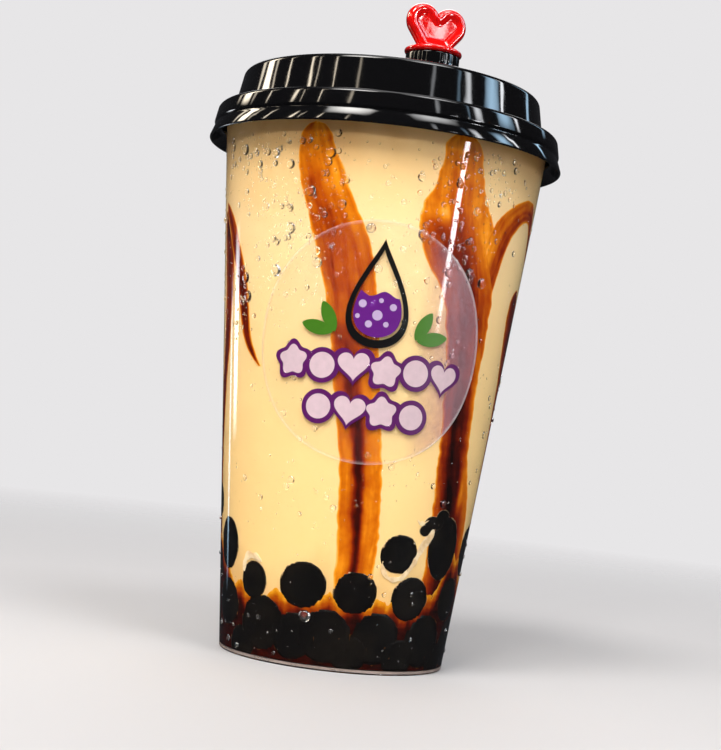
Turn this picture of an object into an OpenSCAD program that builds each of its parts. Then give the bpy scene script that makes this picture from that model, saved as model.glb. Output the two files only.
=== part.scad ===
// Milk tea with tapioca pearls, in a clear tapered cup with a press-on lid, a heart stopper and a round label.
// Millimetres, +Z up. The origin is the centre of the foot ring, and the label faces -Y.

/* [Cup] */
// Height of the cup, from the foot to the top of the rim
cup_h = 146; // [110:1:190]
// Outside diameter of the rolled rim
rim_d = 90; // [80:0.5:110]
// Height of the rolled rim
rim_h = 3; // [2:0.1:4]
// How far the rim stands out from the wall
rim_lip = 1.3; // [1:0.1:2]
// Outside diameter of the foot
base_d = 61.2; // [50:0.2:74]
// Thickness of the wall
wall_t = 0.7; // [0.5:0.05:1.2]
// Thickness of the floor
floor_t = 0.8; // [0.6:0.1:2]
// Depth of the hollow under the floor
foot_h = 0.8; // [0.5:0.1:3]
// Width of the foot ring that the cup stands on
foot_w = 1.6; // [1:0.1:4]
// Rounding at the foot and the rim
edge_r = 0.5; // [0.2:0.05:0.8]

/* [Lid] */
// Thickness of the lid
lid_t = 1.1; // [0.8:0.05:1.4]
// Free space between the rim and the inside of the lid's band
band_gap = 1.9; // [1.4:0.1:3]
// Height of the band and skirt below the rim's top
skirt_h = 7.8; // [6.5:0.1:12]
// Height of the flared part at the skirt's foot
flare_h = 3.6; // [2:0.1:5]
// How far the skirt flares out below the band
flare_out = 0.9; // [0.4:0.1:2]
// Depth of the crease between the flare and the band
crease = 0.3; // [0.1:0.05:0.5]
// Radius that the band loses on its way up to its shoulder
band_draft = 0.6; // [0:0.1:0.8]
// Rounding at the band's shoulder
shoulder_r = 1.2; // [0.8:0.1:1.5]
// Step from the band's outside in to the crown's wall
crown_inset = 5.1; // [4:0.1:8]
// Height of the crown above the band
crown_h = 10.3; // [7:0.1:20]
// Radius that the crown's wall loses on its way up
crown_draft = 1.5; // [0.5:0.1:3]
// Rounding at the crown's top edge
crown_r = 1.6; // [0.8:0.1:2.5]
// Width of the raised lip round the top
lip_w = 2.6; // [2:0.1:6]
// Depth of the top panel below that lip
panel_drop = 1; // [0.4:0.1:3]
// Radial play between the snap bead and the cup's wall
snap_play = 0.9; // [0.5:0.1:1.2]
// Height of the snap bead
snap_h = 1.6; // [1:0.1:2]
// Free height between the snap bead and the rim above it
snap_drop = 0.4; // [0.2:0.1:1]

/* [Sip hole and stopper] */
// Distance of the sip hole from the lid's centre
hole_offset = 26.8; // [20:0.2:28]
// Angle of the sip hole, from the front round to the right
hole_turn = 21; // [-180:1:180]
// Diameter of the sip hole
hole_d = 11.6; // [8:0.1:13]
// Wall of the collar round the hole
collar_t = 1.3; // [0.8:0.1:2]
// Height of the collar above the top panel
collar_h = 5.9; // [2:0.1:9]
// Flare at the collar's foot
collar_flare = 1.3; // [0.5:0.1:2]
// Radial play between the stopper's stem and the hole
stem_play = 0.15; // [0.05:0.05:0.4]
// Length of the stem below the stopper's disc
stem_len = 5.4; // [2:0.1:6]
// Overhang of the stopper's disc past the collar
disc_over = 0.5; // [0:0.1:2]
// Thickness of the stopper's disc
disc_t = 1.7; // [1:0.1:3]
// Radius of each lobe of the heart
lobe_r = 4.7; // [3:0.1:6]
// Half the distance between the lobes' centres
lobe_x = 3.9; // [2.4:0.1:5]
// Height of the lobes' centres above the disc
lobe_z = 7.3; // [5.5:0.1:12]
// Depth that the heart is let into the disc
heart_root = 0.4; // [0.1:0.1:0.8]
// Half the heart's width at its foot
heart_foot = 4; // [2:0.1:6]
// Thickness of the heart
heart_t = 3.6; // [2:0.1:5]
// Width of the raised edge round the heart
heart_rim = 1.3; // [0.6:0.1:2]
// Depth of the dished face inside that edge
heart_dish = 0.6; // [0.2:0.1:1]
// Turn of the heart on its stem
heart_turn = 25; // [-90:1:90]

/* [Drink] */
// Distance from the rim's top down to the drink
headspace = 2; // [1:0.5:30]
// Gap between the contents and the cup
contents_play = 0.03; // [0.01:0.01:0.1]
// Diameter of a pearl
pearl_d = 11; // [7:0.5:13]
// Height of the pearls at the front of the cup
heap_h = 28; // [20:1:40]
// Extra height of the pearls at the back of the cup
heap_back = 12; // [0:1:16]
// Extra height of the two drifts of pearls against the sides
drift_h = 12; // [0:1:16]

/* [Label] */
// Diameter of the round label
label_d = 62; // [30:1:70]
// Thickness of the label
label_t = 0.15; // [0.08:0.01:0.4]
// Height of the label's centre
label_z = 84.5; // [50:0.5:100]
// Angle of the label's centre, from the front round to the right
label_turn = 3; // [-180:1:180]

/* [Hidden] */
$fn = 120;

// Cup and contents
taper = (rim_d / 2 - rim_lip - base_d / 2) / cup_h;
slant = sqrt(1 + taper * taper);
floor_z = foot_h + floor_t;
level_z = cup_h - headspace;
// Gap between the pearls and the drink above them
heap_play = 0.05;
function wall_out(z) = base_d / 2 + taper * z;
function wall_in(z) = wall_out(z) - wall_t * slant;
function contents_r(z) = wall_in(z) - contents_play;

// Lid
band_out = rim_d / 2 + band_gap + lid_t;
band_in = band_out - lid_t;
shoulder_out = band_out - band_draft;
skirt_z = cup_h - skirt_h;
crease_z = skirt_z + flare_h;
seat_z = cup_h;
ring_z = seat_z + lid_t;
crown_out = band_out - crown_inset;
crown_top = ring_z + crown_h;
panel_z = crown_top - panel_drop;
snap_top = cup_h - rim_h - snap_drop;
snap_in = wall_out(snap_top) + snap_play;

// Stopper
collar_out = hole_d / 2 + collar_t;
collar_top = panel_z + collar_h;
disc_r = collar_out + disc_over;
disc_top = collar_top + disc_t;
stem_r = hole_d / 2 - stem_play;
stem_chamfer = 0.8;
// The collar's foot is [share of the flare, height in flares] at each of its corners, and its mouth has a bevel
collar_foot = [[1, 0], [1 / 3, 0.7], [0, 1.8]];
collar_bevel = 0.5;

// Pearls: rings of pearls round the axis, each [distance from the wall in pearl diameters, count]
pearl_r = pearl_d / 2;
pearl_rings = [[0.42, 17], [1.35, 11], [2.3, 5]];
jitter_seed = 7;
pearl_jitter = rands(-1, 1, 40, jitter_seed);
// How far a pearl strays along its ring, in steps of the ring, and up or down, in pearl diameters
stray_turn = 0.2;
stray_z = 0.15;
// How far the syrup between the pearls lies below their tops, in pearl diameters
syrup_drop = 0.62;
// Each drift of pearls at the sides is [angle from the front, half-width of the angle]
drifts = [[52, 20], [-76, 17]];
grid_turns = 96;
grid_rings = 13;

// Points along an arc, from angle a to angle b
function arc(x, z, r, a, b, n = 6) = [for (i = [0:n]) let (t = a + (b - a) * i / n) [x + r * cos(t), z + r * sin(t)]];
// Angle round the axis, from the front to the right, as the angle that cos and sin take
function bearing(turn) = turn - 90;
// Smallest turn between two angles
function turn_between(a, b) = abs(((a - b + 540) % 360) - 180);
function bump(turn, centre, spread) = exp(-pow(turn_between(turn, centre) / spread, 2));

// Height of the heap's top at an angle from the front and a share of the cup's radius
function heap_top(turn, share) =
    heap_h + heap_back * (1 - share * cos(turn)) / 2
    + drift_h * share * (bump(turn, drifts[0][0], drifts[0][1]) + bump(turn, drifts[1][0], drifts[1][1]));

// The top pearls: [x, y, z] of each centre
top_pearls = [
    for (ring = [0:len(pearl_rings) - 1])
        let (depth = pearl_rings[ring][0] * pearl_d, count = pearl_rings[ring][1])
        for (i = [0:count - 1])
            let (
                nudge = pearl_jitter[(ring * 17 + i) % len(pearl_jitter)],
                turn = 360 * (i + 0.5 * ring + stray_turn * nudge) / count,
                radius = max(0, contents_r(heap_h) - depth),
                share = radius / contents_r(heap_h),
                z = heap_top(turn, share) - pearl_r + stray_z * pearl_d * nudge
            )
            [radius * cos(bearing(turn)), radius * sin(bearing(turn)), z]
];

// Height of the heap's outline over a point: the syrup between the pearls, or the highest pearl there
function over_pearl(p, x, y) =
    let (d2 = pow(p[0] - x, 2) + pow(p[1] - y, 2))
    d2 < pearl_r * pearl_r ? p[2] + sqrt(pearl_r * pearl_r - d2) : 0;
function outline_z(turn, radius) =
    let (x = radius * cos(bearing(turn)), y = radius * sin(bearing(turn)))
    max(
        heap_top(turn, radius / contents_r(heap_h)) - syrup_drop * pearl_d,
        max([for (p = top_pearls) over_pearl(p, x, y)])
    );

// One point of the heap's top: ring 0 is next to the axis, and the last ring lies on the wall
function wall_point_z(turn) = outline_z(turn, contents_r(outline_z(turn, contents_r(heap_h))));
function top_point(ring, turn, lift) =
    let (
        edge = wall_point_z(turn),
        last = ring == grid_rings - 1,
        radius = last ? contents_r(edge + lift) : contents_r(heap_h) * (ring + 1) / grid_rings,
        z = (last ? edge : outline_z(turn, radius)) + lift
    )
    [radius * cos(bearing(turn)), radius * sin(bearing(turn)), z];

// A closed solid between the heap's top, moved up by a lift, and a flat disc: the heap, or the drink above it
module heap_side(disc_z, lift, upward) {
    turns = [for (k = [0:grid_turns - 1]) 360 * k / grid_turns];
    disc_r = contents_r(disc_z);
    top = [for (j = [0:grid_rings - 1]) for (t = turns) top_point(j, t, lift)];
    disc = [for (t = turns) [disc_r * cos(bearing(t)), disc_r * sin(bearing(t)), disc_z]];
    points = concat(top, disc, [[0, 0, outline_z(0, 0) + lift], [0, 0, disc_z]]);
    rings = grid_rings + 1;
    axis_top = rings * grid_turns;
    axis_disc = axis_top + 1;
    function at(j, k) = j * grid_turns + k % grid_turns;
    faces = concat(
        [for (k = [0:grid_turns - 1]) [axis_top, at(0, k + 1), at(0, k)]],
        [for (j = [0:rings - 2]) for (k = [0:grid_turns - 1]) [at(j, k), at(j, k + 1), at(j + 1, k)]],
        [for (j = [0:rings - 2]) for (k = [0:grid_turns - 1]) [at(j, k + 1), at(j + 1, k + 1), at(j + 1, k)]],
        [for (k = [0:grid_turns - 1]) [at(rings - 1, k), at(rings - 1, k + 1), axis_disc]]
    );
    turned = [for (f = faces) [f[2], f[1], f[0]]];
    polyhedron(points, upward ? turned : faces, convexity = 10);
}

module cup() {
    rim_r = rim_d / 2;
    under_rim = cup_h - rim_h;
    color("white", 0.35) rotate_extrude() polygon(concat(
        [[0, foot_h], [wall_out(0) - foot_w, foot_h], [wall_out(0) - foot_w, 0]],
        arc(wall_out(0) - edge_r, edge_r, edge_r, -90, 0),
        [[wall_out(under_rim), under_rim]],
        arc(rim_r - edge_r, under_rim + edge_r, edge_r, -90, 0),
        arc(rim_r - edge_r, cup_h - edge_r, edge_r, 0, 90),
        [[wall_in(cup_h), cup_h], [wall_in(floor_z), floor_z], [0, floor_z]]
    ));
}

module milk_tea() {
    color("navajowhite") heap_side(level_z, heap_play, true);
}

module pearls() {
    color("black") heap_side(floor_z, 0, false);
}

module lid_shell() {
    crown_edge = crown_out - crown_draft;
    lip_in = crown_edge - lip_w;
    rotate_extrude() polygon(concat(
        [[band_out + flare_out, skirt_z], [band_out - crease, crease_z], [band_out, crease_z + 2 * crease]],
        arc(shoulder_out - shoulder_r, ring_z - shoulder_r, shoulder_r, 0, 90),
        [[crown_out, ring_z]],
        arc(crown_edge - crown_r, crown_top - crown_r, crown_r, 0, 90),
        [[lip_in + panel_drop, crown_top], [lip_in, panel_z], [0, panel_z], [0, panel_z - lid_t]],
        [[crown_edge - lid_t, panel_z - lid_t], [crown_out - lid_t, seat_z]],
        [[shoulder_out - lid_t, seat_z], [band_in, snap_top + lid_t]],
        arc(snap_in + snap_h / 2, snap_top - snap_h / 2, snap_h / 2, 90, 270),
        [[band_in, snap_top - snap_h], [band_out + flare_out - lid_t, skirt_z]]
    ));
}

// The collar round the sip hole, which flares where it meets the top panel
module collar() {
    rotate_extrude() polygon([
        [0, panel_z - lid_t / 2],
        [collar_out + collar_flare, panel_z - lid_t / 2],
        for (p = collar_foot) [collar_out + p[0] * collar_flare, panel_z + p[1] * collar_flare],
        [collar_out, collar_top - collar_bevel],
        [collar_out - collar_bevel, collar_top],
        [0, collar_top]
    ]);
}

module at_hole() {
    rotate([0, 0, bearing(hole_turn)]) translate([hole_offset, 0, 0]) rotate([0, 0, -bearing(hole_turn)]) children();
}

module lid() {
    through = 2 * (collar_h + lid_t);
    color([0.04, 0.04, 0.05]) difference() {
        union() {
            lid_shell();
            at_hole() collar();
        }
        at_hole() translate([0, 0, collar_top - through + 1]) cylinder(r = hole_d / 2, h = through);
    }
}

// Half of the heart's outline, from the disc round the lobe to the notch, moved in by an inset
function half_heart(inset) =
    let (
        reach = sqrt(pow(lobe_x - heart_foot, 2) + lobe_z * lobe_z),
        aim = atan2(lobe_z, lobe_x - heart_foot) - asin(lobe_r / reach),
        foot_x = heart_foot - inset * sin(aim) + inset * (1 - cos(aim)) / sin(aim) * cos(aim),
        notch = 180 - acos(lobe_x / lobe_r),
        notch_z = lobe_z + lobe_r * sin(notch)
    )
    concat(
        [[foot_x, inset]],
        arc(lobe_x, lobe_z, lobe_r - inset, aim - 90, notch, 24),
        inset > 0 ? arc(0, notch_z, inset, notch + 180, 270, 4) : []
    );

module heart_outline(inset) {
    half = half_heart(inset);
    last = len(half) - 1;
    polygon(concat(half, [for (i = [last - 1:-1:0]) [-half[i][0], half[i][1]]]));
}

module heart() {
    difference() {
        translate([0, heart_t / 2, 0]) rotate([90, 0, 0]) linear_extrude(heart_t) heart_outline(0);
        for (side = [-1, 1])
            translate([0, side * (heart_t - heart_dish) + heart_t / 2, 0])
                rotate([90, 0, 0]) linear_extrude(heart_t) heart_outline(heart_rim);
    }
}

module stopper() {
    stem_z = collar_top - stem_len;
    color("red") at_hole() union() {
        rotate_extrude() polygon(concat(
            [[0, stem_z], [stem_r - stem_chamfer, stem_z], [stem_r, stem_z + stem_chamfer], [stem_r, collar_top]],
            [[disc_r - disc_t / 3, collar_top]],
            arc(disc_r - disc_t / 2, collar_top + disc_t / 2, disc_t / 2, -60, 90),
            [[0, disc_top]]
        ));
        translate([0, 0, disc_top - heart_root]) rotate([0, 0, heart_turn]) heart();
    }
}

// A round label, laid on the cone: its outline is a circle on the unrolled wall
module label() {
    outline = [for (i = [0:71])
        let (a = 5 * i, z = label_z + label_d / 2 * sin(a) / slant, r = wall_out(z), arc_len = label_d / 2 * cos(a))
        [r * sin(arc_len / r * 180 / PI), z]];
    low = label_z - label_d;
    high = label_z + label_d;
    color("white", 0.5) rotate([0, 0, label_turn]) intersection() {
        difference() {
            translate([0, 0, low])
                cylinder(r1 = wall_out(low) + label_t * slant, r2 = wall_out(high) + label_t * slant, h = high - low);
            translate([0, 0, low]) cylinder(r1 = wall_out(low), r2 = wall_out(high), h = high - low);
        }
        rotate([90, 0, 0]) linear_extrude(rim_d) polygon(outline);
    }
}

cup();
milk_tea();
pearls();
lid();
stopper();
label();
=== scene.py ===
# %% [markdown]
# # Milk tea with tapioca pearls, in a clear cup with a black lid
#
# This lesson dresses a finished CAD model of a takeaway drink. The CAD model gives every size and
# place. Blender adds the finish: clear plastic with drops of condensation on it, creamy tea with syrup
# running down inside the wall, soft black pearls pressed against it, a glossy lid, a red heart stopper
# and a clear label.
#
# Everything is in metres, in the CAD model's own frame: +Z is up, and the label faces -Y.

# %% Load the CAD model
import math
import random

import bmesh
import bpy
from mathutils import Matrix, Vector, noise


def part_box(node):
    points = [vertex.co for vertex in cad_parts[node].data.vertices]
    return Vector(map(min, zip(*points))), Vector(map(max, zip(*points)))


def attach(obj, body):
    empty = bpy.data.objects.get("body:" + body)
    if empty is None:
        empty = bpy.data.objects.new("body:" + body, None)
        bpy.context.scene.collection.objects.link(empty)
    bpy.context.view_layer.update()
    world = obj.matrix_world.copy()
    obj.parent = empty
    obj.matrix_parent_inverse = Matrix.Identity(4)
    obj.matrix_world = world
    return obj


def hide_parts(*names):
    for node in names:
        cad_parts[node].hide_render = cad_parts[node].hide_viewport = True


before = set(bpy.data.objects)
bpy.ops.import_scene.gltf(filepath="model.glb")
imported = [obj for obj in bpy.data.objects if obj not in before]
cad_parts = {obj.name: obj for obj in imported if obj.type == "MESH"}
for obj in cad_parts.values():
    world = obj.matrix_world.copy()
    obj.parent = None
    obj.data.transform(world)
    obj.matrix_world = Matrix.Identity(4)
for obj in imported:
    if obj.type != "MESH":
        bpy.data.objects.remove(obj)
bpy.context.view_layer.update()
MM = 0.001
print("nodes:", sorted(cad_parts))

# %% [markdown]
# ## The cup's wall as a ruler
#
# The tea, the syrup, the pearls, the label and the drops all lie against the cup's wall, so each needs
# to know how far the wall is from the axis at any height. The wall is a plain cone, so two rings of the
# CAD mesh are enough to find it. Measuring the mesh, and not typing the radius again, keeps the looks
# right if the cup's size changes.

# %% Measure the cone of the wall
CUP_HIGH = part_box("cup")[1]
LID_LOW, LID_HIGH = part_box("lid")
STOPPER_LOW, STOPPER_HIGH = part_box("stopper")
LABEL_LOW, LABEL_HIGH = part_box("label")


def ring_radius(node, low, high):
    """Greatest distance from the axis of a node's points between two heights, and their mean height."""
    found = [v.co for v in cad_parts[node].data.vertices if low <= v.co.z <= high]
    return max(math.hypot(co.x, co.y) for co in found), sum(co.z for co in found) / len(found)


FLOOR_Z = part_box("pearls")[0].z
LEVEL_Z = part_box("milk_tea")[1].z
RIM_Z = CUP_HIGH.z
FOOT_R, FOOT_Z = ring_radius("cup", 0.4 * MM, 0.6 * MM)
NECK_R, NECK_Z = ring_radius("cup", RIM_Z - 3.05 * MM, RIM_Z - 2.95 * MM)
FLOOR_R = ring_radius("cup", FLOOR_Z - 0.05 * MM, FLOOR_Z + 0.05 * MM)[0]
SLOPE = (NECK_R - FOOT_R) / (NECK_Z - FOOT_Z)
WALL = FOOT_R + SLOPE * (FLOOR_Z - FOOT_Z) - FLOOR_R


def wall_out(z):
    """Distance of the cup's outer wall from the axis."""
    return FOOT_R + SLOPE * (z - FOOT_Z)


def wall_in(z):
    """Distance of the cup's inner wall from the axis."""
    return wall_out(z) - WALL


def on_axis_circle(turn, radius, z):
    """A point at a turn in degrees, from the front (-Y) round to the right (+X)."""
    angle = math.radians(turn)
    return Vector((radius * math.sin(angle), -radius * math.cos(angle), z))


print(f"wall {WALL / MM:.2f} mm, slope {SLOPE:.4f}, tea {FLOOR_Z / MM:.1f} to {LEVEL_Z / MM:.1f} mm")

# %% [markdown]
# ## Camera
#
# The cup is seen from a little below its middle, with the camera turned so that the cup leans to the
# right. A roll is set by building the camera's own axes, because it is then plain which way is up in
# the picture.

# %% Make the camera
CAMERA_PLACE = Vector((-0.1, -432.8, 58.9)) * MM
CAMERA_AIM = Vector((-0.1, 0, 77.75)) * MM
CAMERA_ROLL = math.radians(6.3)

scene = bpy.context.scene
camera = bpy.data.objects.new("camera", bpy.data.cameras.new("camera"))
scene.collection.objects.link(camera)
forward = (CAMERA_AIM - CAMERA_PLACE).normalized()
level = forward.cross(Vector((0, 0, 1))).normalized()
upright = level.cross(forward)
right = math.cos(CAMERA_ROLL) * level + math.sin(CAMERA_ROLL) * upright
up = math.cos(CAMERA_ROLL) * upright - math.sin(CAMERA_ROLL) * level
camera.matrix_world = Matrix((right, up, -forward)).transposed().to_4x4()
camera.location = CAMERA_PLACE
camera.data.lens = 75
camera.data.sensor_width = 36
camera.data.clip_start = 0.01
scene.camera = camera
scene.view_settings.view_transform = "Standard"
print("camera", tuple(round(c / MM, 1) for c in camera.location), "mm, lens", camera.data.lens)

# %% [markdown]
# ## Putting a mesh in the scene
#
# Every piece starts as points and faces worked out by a function, so one helper makes a mesh of them,
# and another joins points that touch and rounds the shading off. Corners stay sharp because edges over
# a limit angle are marked. A whole solid can be turned the right way round by Blender, but a thin shell
# can't: its inner wall would turn too, and light would be trapped in the plastic. So turning the faces
# is left to the piece.

# %% Helpers for pieces


def new_object(name, mesh):
    """Links a mesh to the scene as an object at the origin, riding on the cup's one body."""
    piece = bpy.data.objects.new(name, mesh)
    scene.collection.objects.link(piece)
    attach(piece, "root")
    return piece


def build_mesh(name, points, faces, values=None):
    """A mesh from points and faces, with a number stored at each point for every name in values."""
    mesh = bpy.data.meshes.new(name)
    mesh.from_pydata([tuple(p) for p in points], [], faces)
    for attribute, numbers in (values or {}).items():
        mesh.attributes.new(attribute, "FLOAT", "POINT").data.foreach_set("value", numbers)
    return mesh


def map_flow(mesh, places):
    """Stores a flat place for each point in a UV map, for patterns that run along a surface."""
    uv = mesh.uv_layers.new(name="flow")
    for loop in mesh.loops:
        uv.data[loop.index].uv = places[loop.vertex_index]


def tidy(mesh, gap=1e-6, turn_faces=True):
    """Joins points that touch, drops faces of no area and, if asked, turns every face outwards."""
    work = bmesh.new()
    work.from_mesh(mesh)
    bmesh.ops.remove_doubles(work, verts=work.verts, dist=gap)
    bmesh.ops.dissolve_degenerate(work, edges=work.edges, dist=gap / 10)
    if turn_faces:
        bmesh.ops.recalc_face_normals(work, faces=work.faces)
    work.to_mesh(mesh)
    work.free()


def finished(mesh, material, sharp=None):
    """The piece of a mesh: its material, smooth shading, and sharp edges over an angle in degrees."""
    mesh.materials.append(material)
    mesh.shade_smooth()
    if sharp:
        mesh.set_sharp_from_angle(angle=math.radians(sharp))
    return new_object(mesh.name, mesh)


def mesh_piece(name, points, faces, material, sharp=40, turn_faces=False):
    """A piece from points and faces, smooth but for edges sharper than the given angle in degrees."""
    mesh = build_mesh(name, points, faces)
    tidy(mesh, turn_faces=turn_faces)
    return finished(mesh, material, sharp)


print("helpers for pieces ready")

# %% [markdown]
# ## Turned shapes and smooth curves
#
# Most pieces of a cup are turned shapes, so one helper spins an outline round an axis. An outline is a
# list of (radius, height) points, and its round stretches are arcs. The helper looks which way round
# the outline runs, so the faces of the shell always point out of the plastic. Shapes that wander, such
# as streaks, follow a smooth curve through a few rows of numbers.

# %% Helpers for shapes
SEGMENTS = 192


def arc(x, z, radius, start, end, steps=8):
    """Points along an arc, between two angles in degrees, counted anticlockwise from outwards."""
    angles = [math.radians(start + (end - start) * i / steps) for i in range(steps + 1)]
    return [(x + radius * math.cos(a), z + radius * math.sin(a)) for a in angles]


def lathe(outline, centre=(0, 0), segments=SEGMENTS):
    """Points and faces of a closed outline of (radius, z), spun round a vertical axis."""
    points, faces = [], []
    count = len(outline)
    area = sum(a[0] * b[1] - b[0] * a[1] for a, b in zip(outline, outline[1:] + outline[:1]))
    outline = outline if area < 0 else outline[::-1]
    for s in range(segments):
        a = 2 * math.pi * s / segments
        points += [(centre[0] + r * math.sin(a), centre[1] - r * math.cos(a), z) for r, z in outline]
    for s in range(segments):
        here, there = s * count, (s + 1) % segments * count
        for i in range(count):
            j = (i + 1) % count
            if outline[i][0] > 1e-9 or outline[j][0] > 1e-9:
                faces.append((here + i, here + j, there + j, there + i))
    return points, faces


def grid_faces(high, wide, first=0, closed=False):
    """Faces between the points of a grid stored row by row, from a first point on."""
    faces = []
    for i in range(high - 1):
        for j in range(wide if closed else wide - 1):
            a, b = first + i * wide + j, first + i * wide + (j + 1) % wide
            faces.append((a, b, b + wide, a + wide))
    return faces


def smoothstep(low, high, x):
    """0 below low, 1 above high and a smooth rise between them."""
    t = min(max((x - low) / (high - low), 0), 1)
    return t * t * (3 - 2 * t)


def through(rows, x):
    """A smooth curve through rows of (x, values...), read at x: a Catmull-Rom spline on uneven steps."""
    rows = sorted(rows)
    x = min(max(x, rows[0][0]), rows[-1][0])
    i = max(k for k in range(len(rows) - 1) if rows[k][0] <= x or k == 0)
    a, b = rows[i], rows[i + 1]
    before, after = rows[max(i - 1, 0)], rows[min(i + 2, len(rows) - 1)]
    t = (x - a[0]) / (b[0] - a[0])
    values = []
    for k in range(1, len(a)):
        slope_a = (b[k] - before[k]) / (b[0] - before[0]) * (b[0] - a[0])
        slope_b = (after[k] - a[k]) / (after[0] - a[0]) * (b[0] - a[0])
        values.append(
            (2 * t**3 - 3 * t**2 + 1) * a[k]
            + (t**3 - 2 * t**2 + t) * slope_a
            + (3 * t**2 - 2 * t**3) * b[k]
            + (t**3 - t**2) * slope_b
        )
    return values


print("helpers for shapes ready")

# %% [markdown]
# ## Short ways to write a material
#
# A material is a tree of nodes, and placing and linking each one by hand takes several lines. These
# helpers do it in one line, so that a material reads like a list of what its surface does. The last
# helper is for clear things. Light that has to find its way to the tea through plastic and water would
# be slow to trace and noisy, so for shadows alone such a material is a plain tinted gap.

# %% Material helpers


def new_material(name, inputs=None):
    """A material with a Principled BSDF and plain values: returns it, its tree and the shader."""
    material = bpy.data.materials.new(name)
    material.use_nodes = True
    tree = material.node_tree
    shader = tree.nodes["Principled BSDF"]
    for key, value in (inputs or {}).items():
        shader.inputs[key].default_value = value
    return material, tree, shader


def add(tree, kind, inputs=None, **settings):
    """Adds a node, with its settings and the plain values or links of its inputs."""
    node = tree.nodes.new(kind)
    for key, value in settings.items():
        setattr(node, key, value)
    for key, value in (inputs or {}).items():
        if isinstance(value, bpy.types.NodeSocket):
            tree.links.new(value, node.inputs[key])
        else:
            node.inputs[key].default_value = value
    return node


def math_node(tree, operation, a, b=0.0, clamp=False):
    return add(tree, "ShaderNodeMath", {0: a, 1: b}, operation=operation, use_clamp=clamp).outputs[0]


def times(tree, a, b):
    return math_node(tree, "MULTIPLY", a, b)


def plus(tree, a, b, clamp=False):
    return math_node(tree, "ADD", a, b, clamp)


def range_node(tree, value, low=0.0, high=1.0, to_low=0.0, to_high=1.0):
    """Maps a value's range to another range, and stops at its ends."""
    ends = {"From Min": low, "From Max": high, "To Min": to_low, "To Max": to_high}
    return add(tree, "ShaderNodeMapRange", {"Value": value, **ends}).outputs[0]


def bump_node(tree, height, strength, distance):
    inputs = {"Strength": strength, "Distance": distance, "Height": height}
    return add(tree, "ShaderNodeBump", inputs).outputs[0]


def attribute_node(tree, name):
    """The number that the mesh stores at each point under a name."""
    return add(tree, "ShaderNodeAttribute", attribute_name=name).outputs["Fac"]


def colour_ramp(tree, factor, stops, interpolation="EASE"):
    """A colour ramp with the given (place, colour) stops."""
    node = add(tree, "ShaderNodeValToRGB", {"Fac": factor})
    ramp = node.color_ramp
    ramp.interpolation = interpolation
    while len(ramp.elements) < len(stops):
        ramp.elements.new(0.5)
    for element, (place, colour) in zip(ramp.elements, stops):
        element.position = place
        element.color = (*colour, 1)
    return node.outputs["Color"]


def mix_colour(tree, factor, a, b, blend="MIX"):
    node = add(tree, "ShaderNodeMix", data_type="RGBA", blend_type=blend)
    for socket, value in ((node.inputs[0], factor), (node.inputs[6], a), (node.inputs[7], b)):
        if isinstance(value, bpy.types.NodeSocket):
            tree.links.new(value, socket)
        elif isinstance(value, tuple):
            socket.default_value = (*value, 1)
        else:
            socket.default_value = value
    return node.outputs[2]


def noise_node(tree, vector, scale, detail=3.0, roughness=0.5, distortion=0.0):
    inputs = {"Vector": vector, "Scale": scale, "Detail": detail}
    inputs |= {"Roughness": roughness, "Distortion": distortion}
    return add(tree, "ShaderNodeTexNoise", inputs).outputs["Fac"]


def stretched(tree, vector, stretch):
    """A vector with each axis multiplied."""
    return add(tree, "ShaderNodeMapping", {"Vector": vector, "Scale": stretch}).outputs["Vector"]


def object_coordinates(tree, stretch=(1, 1, 1)):
    """Object coordinates, with each axis multiplied."""
    return stretched(tree, add(tree, "ShaderNodeTexCoord").outputs["Object"], stretch)


def let_light_in(tree, shader, tint):
    """Lets lamps shine through a clear material: for shadows it is a plain tinted gap."""
    path = add(tree, "ShaderNodeLightPath").outputs["Is Shadow Ray"]
    gap = add(tree, "ShaderNodeBsdfTransparent", {"Color": (*tint, 1)}).outputs[0]
    mixed = add(tree, "ShaderNodeMixShader", {0: path, 1: shader.outputs[0], 2: gap}).outputs[0]
    tree.links.new(mixed, tree.nodes["Material Output"].inputs["Surface"])


print("material helpers ready")

# %% [markdown]
# ## Stage
#
# The floor is a pale disc that fades out into an equally pale world, so no horizon cuts through the
# picture. The world is pale only where the camera looks straight at it. Reflections see a darker one,
# as in a studio where the walls are dark and only the lamps are bright, because a glossy black lid
# looks black only if what it mirrors is.

# %% Floor and world
FLOOR_SIZE = 0.8
FLOOR_SIDES = 96
BACKDROP = (0.80, 0.79, 0.80)
STUDIO = (0.03, 0.03, 0.034)

FLOOR_VALUES = {"Base Color": (0.62, 0.61, 0.62, 1), "Roughness": 0.8}
material, tree, shader = new_material("pale_floor", FLOOR_VALUES)
place = add(tree, "ShaderNodeTexCoord").outputs["Object"]
distance = add(tree, "ShaderNodeVectorMath", {0: place}, operation="LENGTH").outputs["Value"]
fade = range_node(tree, distance, 0.2, 0.75)
tree.links.new(math_node(tree, "SUBTRACT", 1.0, fade), shader.inputs["Alpha"])
floor_points = [on_axis_circle(360 * i / FLOOR_SIDES, FLOOR_SIZE, 0) for i in range(FLOOR_SIDES)]
floor_mesh = build_mesh("floor", floor_points, [tuple(range(FLOOR_SIDES))])
floor_mesh.materials.append(material)
floor = bpy.data.objects.new("floor", floor_mesh)
scene.collection.objects.link(floor)
floor.visible_glossy = False

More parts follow.
